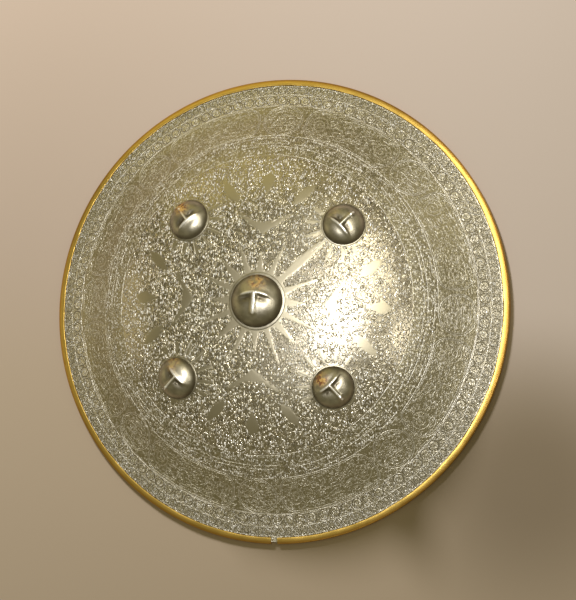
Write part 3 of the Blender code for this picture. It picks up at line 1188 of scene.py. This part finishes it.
        punched = w.plus(
            w.times(ground.outputs["Height"], cut), w.times(small.outputs["Height"], small_share)
        )
        pits = w.most(
            w.times(ground.outputs["Foot"], cut),
            w.times(small.outputs["Foot"], w.minus(w.times(small_share, 1.2), w.times(lacy, 0.50))),
        )
        # Painted glints: the mask of the ground's dots and curls that are painted near-white.
        painted_glints = w.most(
            w.times(ground.outputs["Glint"], cut),
            w.times(small.outputs["Glint"], w.times(small_share, 1.6)),
        )
        wear = w.group(self.effects.wear, {"Clouds": 16.0})
        height = w.plus(w.times(punched, 0.60), w.times(w.most(fine, bold), -0.26))
        height = w.minus(height, w.times(deep, 0.24))
        height = w.minus(height, w.times(wear.outputs["Scratches"], 0.006))
        bumped(w, shader, w.plus(height, w.times(wear.outputs["Patina"], 0.02)))
        forms = w.times(in_field, w.minus(1.0, cut))
        # Painted sheen: the lip past the chain is painted lighter, for the brighter light that its
        # flatter slope catches.
        tone = w.mix(w.times(lacy, 0.9), self.plain, self.lip)
        tone = w.mix(w.times(w.plus(in_band, steps), 0.8), tone, self.band)
        tone = w.mix(forms, tone, self.form)
        tone = w.mix(w.times(wear.outputs["Patina"], 0.30), tone, self.tarnish)
        tone = w.mix(w.times(pits, 0.9), tone, self.ground)
        # Painted glints: the dots are painted near-white. The cut lines are painted lighter, partly worn
        # edges and partly a painted highlight.
        tone = w.mix(painted_glints, tone, self.worn_and_highlight)
        tone = w.mix(w.times(w.most(fine, bold), 0.60), tone, self.worn_and_highlight)
        tone = w.mix(w.times(deep, 0.72), tone, self.ground)
        w.feed(shader.inputs["Base Color"], tone)
        rough = w.plus(self.roughness, w.times(wear.outputs["Patina"], 0.05))
        rough = w.minus(rough, w.times(w.plus(cut, painted_glints), self.burnish))
        w.feed(shader.inputs["Roughness"], rough)
        # The painted glints, and a little of the cut lines, lose metal so that their painted brightness
        # shows from every side.
        diffuse_share = w.most(w.times(painted_glints, 0.92), w.times(w.most(fine, bold), 0.15))
        w.feed(shader.inputs["Metallic"], w.minus(1.0, diffuse_share))
        return bpy.data.materials["engraved_steel_front"]


@dataclass(frozen=True)
class PlainSteel:
    """The smooth, darker steel of the plate's back."""

    effects: Effects
    color: Color = (0.33, 0.31, 0.25)
    stain: Color = (0.16, 0.12, 0.08)
    roughness: float = 0.42

    def material(self) -> bpy.types.Material:
        """Return the finish of the plate's back."""
        w, shader = new_finish("plain_steel_back", self.color, self.roughness, 1.0)
        wear = w.group(self.effects.wear, {"Clouds": 22.0})
        stain = w.times(wear.outputs["Patina"], 0.6)
        w.feed(shader.inputs["Base Color"], w.mix(stain, self.color, self.stain))
        w.feed(shader.inputs["Roughness"], w.plus(self.roughness, w.times(stain, 0.25)))
        height = w.minus(w.times(wear.outputs["Patina"], 0.10), w.times(wear.outputs["Scratches"], 0.01))
        bumped(w, shader, height)
        return bpy.data.materials["plain_steel_back"]


@dataclass(frozen=True)
class BossSteel:
    """The bosses' smooth dark steel with orange rust in places, painted shade in the eye hollows and
    round the dome's edge, and a painted highlight on the ridges.
    """

    effects: Effects
    color: Color = (0.49, 0.455, 0.36)
    dark: Color = (0.14, 0.12, 0.085)
    worn_and_highlight: Color = (0.97, 0.95, 0.91)
    rust: Color = (0.22, 0.065, 0.012)
    gold: Color = (0.70, 0.46, 0.15)
    roughness: float = 0.37

    def material(self) -> bpy.types.Material:
        """Return the finish of the bosses."""
        w, shader = new_finish("boss_steel_aged", self.color, self.roughness, 1.0)
        wear = w.group(self.effects.wear, {"Clouds": 90.0})
        hollow = w.attribute("hollow")
        place = w.add("ShaderNodeTexCoord", {}).outputs["Object"]
        rough_spots = w.rise(w.noise(place, 200.0, 4.0), 0.22, 0.62)
        rust = w.times(w.attribute("rust"), rough_spots)
        tone = w.mix(w.times(wear.outputs["Patina"], 0.45), self.color, self.dark)
        # Painted shade: the eye hollows and the steep edge of the dome, stored as 'hollow', are painted
        # dark.
        tone = w.mix(hollow, tone, self.dark)
        ridge = w.attribute("ridge")
        # Painted highlight: the brow and nose ridges are painted near-white, partly worn steel and
        # partly a painted highlight.
        tone = w.mix(w.times(ridge, 0.9), tone, self.worn_and_highlight)
        stain = w.mix(w.rise(w.noise(place, 330.0, 2.0), 0.42, 0.58), self.rust, self.gold)
        tone = w.mix(rust, tone, stain)
        w.feed(shader.inputs["Base Color"], tone)
        # Rust loses metal, and so do the ridges, so that their painted highlight shows from every side.
        diffuse_share = w.most(w.times(rust, 0.35), w.times(ridge, 0.25))
        w.feed(shader.inputs["Metallic"], w.minus(1.0, diffuse_share))
        rough = w.plus(self.roughness, w.times(wear.outputs["Specks"], 0.06))
        rough = w.minus(rough, w.times(ridge, 0.08))
        w.feed(shader.inputs["Roughness"], w.plus(rough, w.times(rust, 0.35)))
        height = w.times(w.plus(wear.outputs["Patina"], rust), 0.05)
        bumped(w, shader, w.minus(height, w.times(wear.outputs["Scratches"], 0.008)))
        return bpy.data.materials["boss_steel_aged"]


@dataclass(frozen=True)
class BindingBrass:
    """The binding's golden brass, browner along its outer half, with a painted shadow along its inner
    edge.
    """

    effects: Effects
    color: Color = (0.83, 0.57, 0.15)
    brown: Color = (0.46, 0.225, 0.045)
    shade: Color = (0.16, 0.085, 0.025)
    roughness: float = 0.30

    def material(self) -> bpy.types.Material:
        """Return the finish of the binding."""
        w, shader = new_finish("brass_worn", self.color, self.roughness, 1.0)
        dial = w.group(self.effects.dial, {})
        wear = w.group(self.effects.wear, {"Clouds": 40.0})
        streaks = w.noise(w.around(dial, 24.0, w.times(dial.outputs["Radius"], 2.6)), 1.0, 2.0)
        aged = w.times(w.rise(w.attribute("fold"), 2.2, 5.2), 0.75)
        aged = w.plus(aged, w.times(w.minus(streaks, 0.5), 0.8))
        tone = w.mix(aged, self.color, self.brown)
        # Painted shadow: the binding is painted dark within half a millimetre of its inner edge, where
        # the step throws shade.
        step_shadow = w.fall(w.attribute("fold"), 0.0, 0.45)
        w.feed(shader.inputs["Base Color"], w.mix(step_shadow, tone, self.shade))
        rough = w.plus(self.roughness, w.times(wear.outputs["Patina"], 0.10))
        w.feed(shader.inputs["Roughness"], rough)
        height = w.plus(w.times(streaks, 0.05), w.times(wear.outputs["Patina"], 0.05))
        bumped(w, shader, w.minus(height, w.times(wear.outputs["Scratches"], 0.01)))
        return bpy.data.materials["brass_worn"]


# Pieces


@dataclass
class Plate:
    """The dished plate with its engraved front and plain back."""

    dish: DishForm
    ornament: Ornament
    fine_steps: int = 640
    inner_steps: int = 320
    back_steps: int = 128
    hidden_radius: float = 0.0205
    change_radius: float = 0.088
    pitch: float = 0.00135
    back_rings: int = 18

    def _ring_radii(self, low: float, high: float) -> list[float]:
        """Return radii between two others, set close on the ornament's own lines.

        Args:
            low: The first radius.
            high: The last radius.

        Returns:
            The radii in rising order.
        """
        plan = self.ornament
        marks = {low, high}
        for line in plan.ring_lines:
            for offset in (-plan.line_half, 0.0, plan.line_half):
                radius = (line + offset) * plan.radius
                if low + 0.0005 < radius < high - 0.0005:
                    marks.add(radius)
        ordered = sorted(marks)
        radii = [ordered[0]]
        for start, stop in zip(ordered, ordered[1:]):
            count = max(1, math.ceil((stop - start) / self.pitch - 0.2))
            radii.extend(start + (stop - start) * step / count for step in range(1, count + 1))
        return radii

    def _front(self, radii: Sequence[float]) -> list[tuple[float, float]]:
        """Return the front's profile at some radii."""
        return [(r, float(self.dish.height(r))) for r in radii]

    def _back(self) -> list[tuple[float, float]]:
        """Return the back's profile from the edge to the axis."""
        edge = self.dish.front_edge()[0]
        radii = np.linspace(edge, 0.0, self.back_rings)
        lean = self.dish.slope(radii)
        heights = self.dish.height(radii)
        depth = self.dish.thickness
        points = zip(radii - depth * np.sin(lean), heights - depth * np.cos(lean))
        return [(max(0.0, float(r)), float(z)) for r, z in points]

    def build(self, front: bpy.types.Material, back: bpy.types.Material) -> bpy.types.Object:
        """Model and dress the plate.

        Args:
            front: The engraved finish.
            back: The plain finish.

        Returns:
            The finished piece.
        """
        edge = self.dish.front_edge()[0]
        inner = self._ring_radii(self.hidden_radius, self.change_radius)
        outer = self._ring_radii(self.change_radius + self.pitch, edge)
        strips = [
            turned_strip("plate_inner", self._front([0.0, *inner]), self.inner_steps),
            turned_strip("plate_outer", self._front(outer), self.fine_steps),
            turned_strip("plate_back", self._back(), self.back_steps),
        ]
        plate = joined("engraved_plate", strips)
        bridge_gap(plate, self.change_radius - 0.0006, self.change_radius + self.pitch + 0.0006)
        bridge_gap(plate, edge - 0.003, edge + 0.001)
        points = points_of(plate)
        radius = np.hypot(points[:, 0], points[:, 1])
        on_front = np.abs(points[:, 2] - self.dish.height(radius)) < 0.0005
        proud = self.ornament.relief(points[:, 0], points[:, 1])
        in_binding = smoothstep(radius, self.dish.lip_start - 0.0004, self.dish.lip_start + 0.0004)
        proud = proud * on_front * (1.0 - in_binding)
        set_points(plate, points + self.dish.normals(points) * proud[:, None])
        plain = self.ornament.plain_distance(points[:, 0], points[:, 1])
        frames = self.ornament.frame_distance(points[:, 0], points[:, 1])
        close_and_smooth(plate, 40.0)
        store(plate, "plain_edge", np.clip(plain * PER_MM, -12.0, 12.0))
        store(plate, "frame_edge", np.clip(frames * PER_MM, -30.0, 30.0))
        plate.data.materials.append(front)
        plate.data.materials.append(back)
        flat = np.empty(len(plate.data.polygons) * 3)
        plate.data.polygons.foreach_get("center", flat)
        middles = flat.reshape(-1, 3)
        level = self.dish.height(np.hypot(middles[:, 0], middles[:, 1]))
        choice = (middles[:, 2] < level - 0.0007).astype(np.int32)
        plate.data.polygons.foreach_set("material_index", choice)
        hold(plate, "engraved_steel", "plate")
        return plate


@dataclass
class Binding:
    """The brass channel round the edge, with its open joint."""

    dish: DishForm
    steps: int = 420
    edge_wall: float = 0.0003
    edge_rounding: float = 0.0038
    joint_gap: float = 0.0062
    joint_azimuth: float = -88.0
    end_bevel: float = 0.00025
    wander: float = 0.00012
    pins: tuple[float, ...] = (121.0, 55.0, 35.0, 197.0, -10.0)

    def _leg(self, side: int, count: int) -> list[tuple[float, float]]:
        """Return one leg's rounded inner edge in the channel's own axes, end first."""
        dish = self.dish
        leg = dish.band_width - dish.nose_half
        rise = dish.rim_wall - self.edge_wall
        points = []
        for angle in np.linspace(0.0, math.pi / 2, count):
            along = -leg + self.edge_rounding * (1 - math.cos(angle))
            points.append((along, side * (dish.slot_half + self.edge_wall + rise * math.sin(angle))))
        return points

    def _outline(self) -> list[tuple[float, float]]:
        """Return the channel's closed section as (along, across) from the plate's edge."""
        dish = self.dish
        leg = dish.band_width - dish.nose_half
        widest = math.pi / 2 - math.radians(dish.lip_slope)
        angles = [*np.linspace(0.0, widest, 8), *np.linspace(widest, math.pi, 8)[1:]]
        nose = [(dish.nose_half * math.sin(a), dish.nose_half * math.cos(a)) for a in angles]
        flat = [(-leg + self.edge_rounding + 0.0003 * k, dish.nose_half) for k in (1, 2)]
        slot = [
            (-leg, -dish.slot_half),
            (dish.seat_gap, -dish.slot_half),
            (dish.seat_gap, dish.slot_half),
            (-leg, dish.slot_half),
        ]
        return self._leg(1, 7) + flat + nose + self._leg(-1, 4)[::-1] + slot

    def _place(self, along: float, across: float) -> tuple[float, float]:
        """Return the radius and height of a point of the section."""
        lean = math.radians(self.dish.lip_slope)
        radius = self.dish.edge_radius + along * math.cos(lean) + across * math.sin(lean)
        height = self.dish.edge_height - along * math.sin(lean) + across * math.cos(lean)
        return radius, max(0.0, height)

    def build(self, finish: bpy.types.Material) -> bpy.types.Object:
        """Model and dress the binding.

        Args:
            finish: The brass.

        Returns:
            The finished piece.
        """
        dish = self.dish
        half = self.joint_gap / 2 / dish.edge_radius
        start = math.radians(self.joint_azimuth) + half
        profile = [self._place(*point) for point in self._outline()]
        rim = turned_strip(
            BINDING, profile, self.steps, start, math.tau - 2 * half, closed=True
        )
        make_active(rim)
        bpy.ops.object.mode_set(mode="EDIT")
        bpy.ops.mesh.select_mode(type="EDGE")
        bpy.ops.mesh.select_all(action="DESELECT")
        bpy.ops.mesh.select_non_manifold(extend=False)
        bpy.ops.mesh.edge_face_add()
        bpy.ops.object.mode_set(mode="OBJECT")
        self._work_by_hand(rim)
        close_and_smooth(rim, 50.0)
        rim.data.materials.append(finish)
        hold(rim, "brass", "rim")
        return rim

    def _work_by_hand(self, rim: bpy.types.Object) -> None:
        """Give the folded brass its small waves, a shallow uneven press and its pin marks.

        Args:
            rim: The channel.
        """
        dish = self.dish
        points = points_of(rim)
        radius = np.hypot(points[:, 0], points[:, 1])
        turn = np.arctan2(points[:, 1], points[:, 0])
        lean = math.radians(dish.lip_slope)
        out, up = radius - dish.edge_radius, points[:, 2] - dish.edge_height
        along = out * math.cos(lean) - up * math.sin(lean)
        across = out * math.sin(lean) + up * math.cos(lean)
        leg = dish.band_width - dish.nose_half
        on_top = smoothstep(across, dish.slot_half + 0.0002, dish.slot_half + 0.0005)
        on_top = on_top * (1.0 - smoothstep(along, 0.0002, 0.0016))
        waves = np.sin(turn * 23.0 + 1.1) + 0.7 * np.sin(turn * 41.0) + 0.5 * np.sin(turn * 87.0 + 2.0)
        near_edge = on_top * (1.0 - smoothstep(along, -leg, -leg + 0.002))
        slide = self.wander * waves * near_edge
        press = 0.00005 * (np.sin(turn * 61.0 + 0.7) + np.sin(turn * 33.0)) - 0.0001
        sink = press * on_top
        for azimuth in self.pins:
            offset = np.mod(turn - math.radians(azimuth) + math.pi, math.tau) - math.pi
            far = np.hypot(offset * dish.edge_radius, along + 0.0018)
            sink = sink - 0.0006 * np.exp(-((far / 0.0007) ** 2)) * on_top
        step_out = slide * math.cos(lean) + sink * math.sin(lean)
        step_up = -slide * math.sin(lean) + sink * math.cos(lean)
        moved = points.copy()
        moved[:, 0] += np.cos(turn) * step_out
        moved[:, 1] += np.sin(turn) * step_out
        moved[:, 2] += step_up
        set_points(rim, moved)
        store(rim, "fold", (along + leg) * PER_MM)


@dataclass(frozen=True)
class BossSize:
    """The sizes of one kind of boss and of the face on it."""

    radius: float
    height: float
    flange: float
    nose_root: float
    nose_tip: float
    nose_half: float
    nose_rise: float
    bulb_radius: float
    bulb_rise: float
    brow_reach: float
    brow_sweep: float
    brow_half: float
    brow_rise: float
    eye_depth: float


OUTER_BOSS = BossSize(
    radius=0.0197,
    height=0.0100,
    flange=0.0011,
    nose_root=0.0045,
    nose_tip=0.0125,
    nose_half=0.0015,
    nose_rise=0.0013,
    bulb_radius=0.0030,
    bulb_rise=0.0023,
    brow_reach=0.0160,
    brow_sweep=0.0020,
    brow_half=0.0013,
    brow_rise=0.0012,
    eye_depth=0.0013,
)
CENTER_BOSS = BossSize(
    radius=0.0246,
    height=0.0125,
    flange=0.0024,
    nose_root=0.0070,
    nose_tip=0.0115,
    nose_half=0.0022,
    nose_rise=0.0016,
    bulb_radius=0.0030,
    bulb_rise=0.0008,
    brow_reach=0.0195,
    brow_sweep=-0.0055,
    brow_half=0.0015,
    brow_rise=0.0009,
    eye_depth=0.0012,
)


@dataclass
class Boss:
    """One hollow domed boss with a brow and a nose."""

    dish: DishForm
    size: BossSize
    place: BossPlace
    rust_at: tuple[float, float]
    rust_reach: float
    rust_amount: float
    steps: int = 168
    dome_rings: int = 44
    wall: float = 0.0013
    flange_thickness: float = 0.0007
    top_limit: float = 0.0

    def _dome(self, distance: np.ndarray, inset: float = 0.0) -> np.ndarray:
        """Return the dome's height at distances from its middle.

        Args:
            distance: The distances.
            inset: How far the surface lies inside the outer one.

        Returns:
            The heights above the foot.
        """
        share = np.clip(distance / (self.size.radius - inset), 0.0, 1.0)
        rise = self.size.height - inset - self.flange_thickness
        return self.flange_thickness + rise * (1 - share**2.2) ** 0.58

    def _profile(self) -> list[tuple[float, float]]:
        """Return the boss's outline from its top, over the flange and back inside."""
        size = self.size
        steps = np.linspace(0.0, 1.0, self.dome_rings + 1)
        distances = size.radius * np.sin(steps * math.pi / 2)
        points = [(float(d), float(self._dome(d))) for d in distances]
        foot = size.radius + size.flange
        thick = self.flange_thickness
        points += [
            (foot - 0.35 * size.flange, 0.95 * thick),
            (foot - 0.08 * size.flange, 0.80 * thick),
            (foot, 0.45 * thick),
            (foot, 0.0),
        ]
        inside = (size.radius - self.wall) * np.sin(np.linspace(math.pi / 2, 0.0, 7))
        points.append((size.radius - self.wall, 0.0))
        points += [(float(d), float(self._dome(d, self.wall))) for d in inside]
        return points

    def _face(self, x: np.ndarray, y: np.ndarray) -> tuple[np.ndarray, ...]:
        """Return the face's relief, how deep in a hollow and how high on a ridge each place lies.

        Args:
            x: Places along the nose.
            y: Places across it.

        Returns:
            The heights above the dome, and two rows of shares from 0 to 1.
        """
        size = self.size
        t = np.abs(y) / size.brow_reach
        brow_line = -size.nose_root - size.brow_sweep * t**1.6
        below = x - brow_line
        taper = 1.0 - smoothstep(t, 0.45, 1.02)
        soft = np.where(below < 0.0, 1.9 * size.brow_half, 0.75 * size.brow_half)
        brow = size.brow_rise * taper * np.exp(-((below / soft) ** 2))
        run = np.clip((x + size.nose_root) / (size.nose_tip + size.nose_root), 0.0, 1.0)
        half = size.nose_half * (0.85 + 0.35 * run)
        over = np.maximum(np.maximum(-size.nose_root - x, x - size.nose_tip), 0.0)
        nose = size.nose_rise * np.exp(-((y / half) ** 2) - (over / size.nose_half) ** 2)
        tip = size.nose_tip - 0.85 * size.bulb_radius
        bulb = size.bulb_rise * np.exp(-(((x - tip) ** 2 + y**2) / (0.72 * size.bulb_radius) ** 2))
        side = np.abs(y) - 0.34 * size.brow_reach
        deep = np.exp(-((below - 2.6 * size.brow_half) / (2.3 * size.brow_half)) ** 2)
        deep = deep * smoothstep(below, 0.0, 1.6 * size.brow_half)
        deep = deep * np.exp(-((side / (0.36 * size.brow_reach)) ** 2))
        deep = deep * smoothstep(np.abs(y), 0.4 * size.nose_half, 1.9 * size.nose_half)
        lid = np.exp(-(((below - 3.6 * size.brow_half) ** 2 + (side * 0.8) ** 2) / 0.0010**2))
        raised = np.maximum(brow / size.brow_rise, nose / size.nose_rise)
        raised = np.maximum(raised, bulb / size.bulb_rise)
        height = np.maximum(np.maximum(brow, nose), bulb) - size.eye_depth * deep
        height = height + 0.0003 * lid * (deep > 0.05)
        return height, np.clip(deep, 0.0, 1.0), smoothstep(raised, 0.55, 0.95)

    def build(self, finish: bpy.types.Material) -> bpy.types.Object:
        """Model and dress the boss.

        Args:
            finish: The bosses' steel.

        Returns:
            The finished piece.
        """
        boss = turned_strip(f"{self.place.node}_dome", self._profile(), self.steps)
        points = points_of(boss)
        distance = np.hypot(points[:, 0], points[:, 1])
        size = self.size
        top = points[:, 2] > self._dome(distance, self.wall) + 0.0003
        top = top & (distance < size.radius * 0.999)
        relief, hollow, ridge = self._face(points[:, 0], points[:, 1])
        fade = 1.0 - smoothstep(distance / size.radius, 0.86, 0.985)
        lean = np.clip(distance / size.radius, 0.0, 1.0) ** 1.6 * 0.9
        away = points[:, :2] / np.maximum(distance, 1e-6)[:, None]
        shift = relief * fade * top
        points[:, 0] += shift * np.sin(lean) * away[:, 0]
        points[:, 1] += shift * np.sin(lean) * away[:, 1]
        points[:, 2] += shift * np.cos(lean)
        points = self._seat(points, distance)
        matrix = np.array(self.place.matrix(self.dish))
        placed = points @ matrix[:3, :3].T + matrix[:3, 3]
        if self.top_limit:
            placed[:, 2] = np.minimum(placed[:, 2], self.top_limit)
        set_points(boss, placed)
        close_and_smooth(boss, 50.0)
        # The dome's steep edge joins the eye hollows in 'hollow', where the finish paints shade.
        edge = 0.75 * smoothstep(distance / size.radius, 0.80, 0.97)
        store(boss, "hollow", np.maximum(hollow * fade, edge) * top)
        store(boss, "ridge", ridge * fade * top)
        rust_far = np.hypot(placed[:, 0] - self.rust_at[0], placed[:, 1] - self.rust_at[1])
        rust = self.rust_amount * (1.0 - smoothstep(rust_far / self.rust_reach, 0.25, 1.0))
        store(boss, "rust", rust * top)
        boss.data.materials.append(finish)
        hold(boss, "boss_steel", self.place.node)
        return boss

    def _seat(self, points: np.ndarray, distance: np.ndarray) -> np.ndarray:
        """Bend the boss's foot to the plate, clear of it by the gap.

        Args:
            points: The boss's points in its own axes.
            distance: The points' distances from the boss's middle.

        Returns:
            The bent points.
        """
        matrix = np.array(self.place.matrix(self.dish))
        turn, origin = matrix[:3, :3], matrix[:3, 3]
        level = np.zeros(len(points))
        for _ in range(6):
            flat = np.column_stack([points[:, 0], points[:, 1], level])
            there = flat @ turn.T + origin
            radius = np.hypot(there[:, 0], there[:, 1])
            gap = there[:, 2] - self.dish.height(radius)
            level = level - (gap * np.cos(self.dish.slope(radius)) - self.dish.seat_gap)
        follow = smoothstep(distance / self.size.radius, 0.55, 0.97)
        bent = points.copy()
        bent[:, 2] += level * follow
        return bent


@dataclass
class Setting:
    """The floor, the lights and the camera."""

    distance: float = 6.5
    tilt: float = 15.72
    tilt_azimuth: float = 157.65
    roll: float = -3.945
    focal_pixels: float = 1514.6
    offset: tuple[float, float] = (-0.0502, -0.0361)
    radius: float = 0.225
    rim_height: float = 0.0019
    long_side: int = 600
    floor_left: Color = (0.535, 0.435, 0.36)
    floor_right_painted_light: Color = (0.725, 0.625, 0.57)
    floor_below: Color = (0.54, 0.44, 0.34)
    floor_painted_shadow: Color = (0.33, 0.265, 0.195)

    def _view(self) -> tuple[np.ndarray, np.ndarray]:
        """Return the turn from the shield's axes to the camera's, and the shield's place there."""
        tilt, azimuth = math.radians(self.tilt), math.radians(self.tilt_azimuth)
        normal = np.array(
            [
                math.sin(tilt) * math.cos(azimuth),
                math.sin(tilt) * math.sin(azimuth),
                math.cos(tilt),
            ]
        )
        x = np.array([1.0, 0.0, 0.0]) - normal * normal[0]
        x /= np.linalg.norm(x)
        y = np.cross(normal, x)
        c, s = math.cos(math.radians(self.roll)), math.sin(math.radians(self.roll))
        turn = np.column_stack([x * c + y * s, -x * s + y * c, normal])
        shift = np.array([self.offset[0], self.offset[1], -self.distance]) * self.radius
        return turn, shift

    def camera(self) -> bpy.types.Object:
        """Add the camera at the photograph's viewing angle."""
        turn, shift = self._view()
        bpy.ops.object.select_all(action="DESELECT")
        data = bpy.data.cameras.new("camera")
        camera = bpy.data.objects.new("camera", data)
        bpy.context.scene.collection.objects.link(camera)
        data.sensor_width = 36.0
        data.lens = self.focal_pixels / self.long_side * data.sensor_width
        data.clip_start = 0.01
        data.clip_end = 20.0
        rotation = Matrix(turn.T.tolist()).to_4x4()
        place = Vector((-turn.T @ shift).tolist()) + Vector((0.0, 0.0, self.rim_height))
        camera.matrix_world = Matrix.Translation(place) @ rotation
        bpy.context.scene.camera = camera
        return camera

    def lamp(
        self,
        name: str,
        place: Sequence[float],
        size: float,
        power: float,
        color: Color,
        lit: Sequence[bpy.types.Object],
    ) -> None:
        """Add a round light that faces the shield's middle.

        Args:
            name: The light's name.
            place: Where it hangs.
            size: Its diameter.
            power: Its power in watts.
            color: Its colour.
            lit: The objects that it lights.
        """
        data = bpy.data.lights.new(name, "AREA")
        data.shape = "DISK"
        data.size = size
        data.energy = power
        data.color = color
        lamp = bpy.data.objects.new(name, data)
        bpy.context.scene.collection.objects.link(lamp)
        lamp.location = place
        aim = Vector((0.0, 0.0, 0.03)) - Vector(place)
        lamp.rotation_mode = "QUATERNION"
        lamp.rotation_quaternion = aim.to_track_quat("-Z", "Y")
        receivers = bpy.data.collections.new(f"{name}_lights")
        for piece in lit:
            receivers.objects.link(piece)
        lamp.light_linking.receiver_collection = receivers

    def flash_place(self, dish: DishForm, share: float, azimuth: float, far: float) -> Vector:
        """Return where a light hangs to shine back from one place on the plate.

        Args:
            dish: The plate's form.
            share: The place's share of the radius.
            azimuth: The place's azimuth in degrees.
            far: How far off the light is.

        Returns:
            The light's place.
        """
        x, y = polar(share * dish.rim_radius, azimuth)
        spot = np.array([[x, y, float(dish.height(share * dish.rim_radius))]])
        normal = Vector(dish.normals(spot)[0].tolist())
        eye = bpy.context.scene.camera.matrix_world.translation
        point = Vector(spot[0].tolist())
        sight = (eye - point).normalized()
        back = 2.0 * sight.dot(normal) * normal - sight
        return point + back * far

    def floor(self) -> bpy.types.Object:
        """Add the pale floor, whose colour holds painted light, lighter towards the upper right, and a
        painted shadow to the lower right of the shield.
        """
        clear_selection()
        bpy.ops.mesh.primitive_plane_add(size=6.0, location=(0.0, 0.0, 0.0))
        floor = bpy.context.object
        floor.name = "floor"
        w, shader = new_finish("floor_paper", (0.56, 0.44, 0.32), 0.9, 0.0)
        shader.inputs["Specular IOR Level"].default_value = 0.1
        place = w.add("ShaderNodeTexCoord", {}).outputs["Object"]
        parts = w.add("ShaderNodeSeparateXYZ", {0: place})
        x, y = parts.outputs[0], parts.outputs[1]
        # Painted light: the floor is painted lighter to the right above a slanting line, with a plainer
        # colour below it.
        far_side = w.mix(w.rise(x, -0.33, 0.33), self.floor_left, self.floor_right_painted_light)
        above = w.rise(w.plus(y, w.times(x, 0.12)), -0.15, 0.05)
        shade = w.mix(above, self.floor_below, far_side)
        # Painted shadow: a dark patch painted on the floor to the lower right of the shield.
        corner = w.length(w.minus(x, 0.25), w.plus(y, 0.15))
        shade = w.mix(w.fall(corner, 0.02, 0.17), shade, self.floor_painted_shadow)
        w.feed(shader.inputs["Base Color"], shade)
        floor.data.materials.append(bpy.data.materials["floor_paper"])
        return floor

    def build(self, dish: DishForm, pieces: Sequence[bpy.types.Object]) -> None:
        """Build the whole setting.

        Args:
            dish: The plate's form, for the place of the highlight.
            pieces: The shield's pieces.
        """
        floor = self.floor()
        self.camera()
        flash = self.flash_place(dish, 0.357, -11.0, 1.45)
        lamps = (
            ("flash", flash, 0.09, 6.5, (1.0, 1.0, 1.0)),
            ("window", (0.69, 0.69, 2.19), 1.2, 16.0, (1.0, 0.95, 0.82)),
            ("sky", (0.0, 1.78, 1.61), 1.2, 0.9, (1.0, 0.86, 0.36)),
            ("far_left", (-2.25, 0.0, 0.82), 1.2, 2.0, (1.0, 0.85, 0.50)),
            ("far_right", (1.6, 1.6, 0.82), 1.2, 2.6, (1.0, 0.93, 0.70)),
            ("glow", (-0.9, 1.4, 0.9), 1.5, 2.8, (1.0, 0.86, 0.32)),
            ("side_fill", (1.5, -0.2, 1.8), 0.5, 3.6, (1.0, 0.96, 0.88)),
            ("top_fill", (0.60, 1.16, 2.00), 0.5, 1.0, (1.0, 0.93, 0.60)),
        )
        for name, place, size, power, color in lamps:
            self.lamp(name, place, size, power, color, pieces)
        steel = [piece for piece in pieces if piece.name != BINDING]
        brass = [piece for piece in pieces if piece.name == BINDING]
        self.lamp("flash_halo", flash, 0.70, 2.8, (0.96, 0.95, 1.0), steel)
        self.lamp("low_fill", (0.3, -2.25, 0.82), 1.2, 1.2, (1.0, 0.90, 0.60), brass)
        self.lamp("floor_key", (-0.80, 1.50, 0.86), 0.35, 42.0, (1.0, 0.97, 0.93), [floor])
        world = bpy.data.worlds.new("room")
        bpy.context.scene.world = world
        world.use_nodes = True
        background = world.node_tree.nodes["Background"]
        background.inputs["Color"].default_value = (1.0, 0.90, 0.52, 1.0)
        background.inputs["Strength"].default_value = 0.24
        bpy.context.scene.view_settings.view_transform = "Standard"


OUTER_CIRCLE = 0.106


def build_bosses(dish: DishForm, finish: bpy.types.Material) -> list[bpy.types.Object]:
    """Build the five bosses.

    Args:
        dish: The plate's form.
        finish: The bosses' steel.

    Returns:
        The finished pieces.
    """
    rows = (
        ("boss_center", CENTER_BOSS, 0.0, 0.0, -90.0, (0.001, 0.017), 0.013, 0.8),
        ("boss_upper_right", OUTER_BOSS, OUTER_CIRCLE, 45.0, 50.0, (0.066, 0.086), 0.008, 0.25),
        ("boss_upper_left", OUTER_BOSS, OUTER_CIRCLE, 135.0, 133.0, (-0.083, 0.086), 0.012, 1.0),
        ("boss_lower_left", OUTER_BOSS, OUTER_CIRCLE, 225.0, 226.0, (-0.078, -0.062), 0.011, 0.5),
        ("boss_lower_right", OUTER_BOSS, OUTER_CIRCLE, 315.0, 315.0, (0.065, -0.069), 0.010, 0.9),
    )
    bosses = []
    for node, size, distance, azimuth, nose, rust_at, reach, amount in rows:
        place = BossPlace(node, distance, azimuth, nose)
        boss = Boss(dish, size, place, rust_at, reach, amount)
        boss.top_limit = cad_high.z
        bosses.append(boss.build(finish))
        LOG.info("%s: %d faces", node, len(bosses[-1].data.polygons))
    return bosses


def main() -> None:
    """Build the shield and its setting."""
    logging.basicConfig(level=logging.INFO, format="%(name)s: %(message)s")
    dish = DishForm()
    ornament = Ornament()
    effects = Effects()
    front = EngravedSteel(effects, ornament).material()
    back = PlainSteel(effects).material()
    plate = Plate(dish, ornament).build(front, back)
    LOG.info("plate: %d faces", len(plate.data.polygons))
    rim = Binding(dish).build(BindingBrass(effects).material())
    LOG.info("binding: %d faces", len(rim.data.polygons))
    bosses = build_bosses(dish, BossSteel(effects).material())
    Setting().build(dish, [plate, rim, *bosses])


if __name__ == "__main__":
    main()
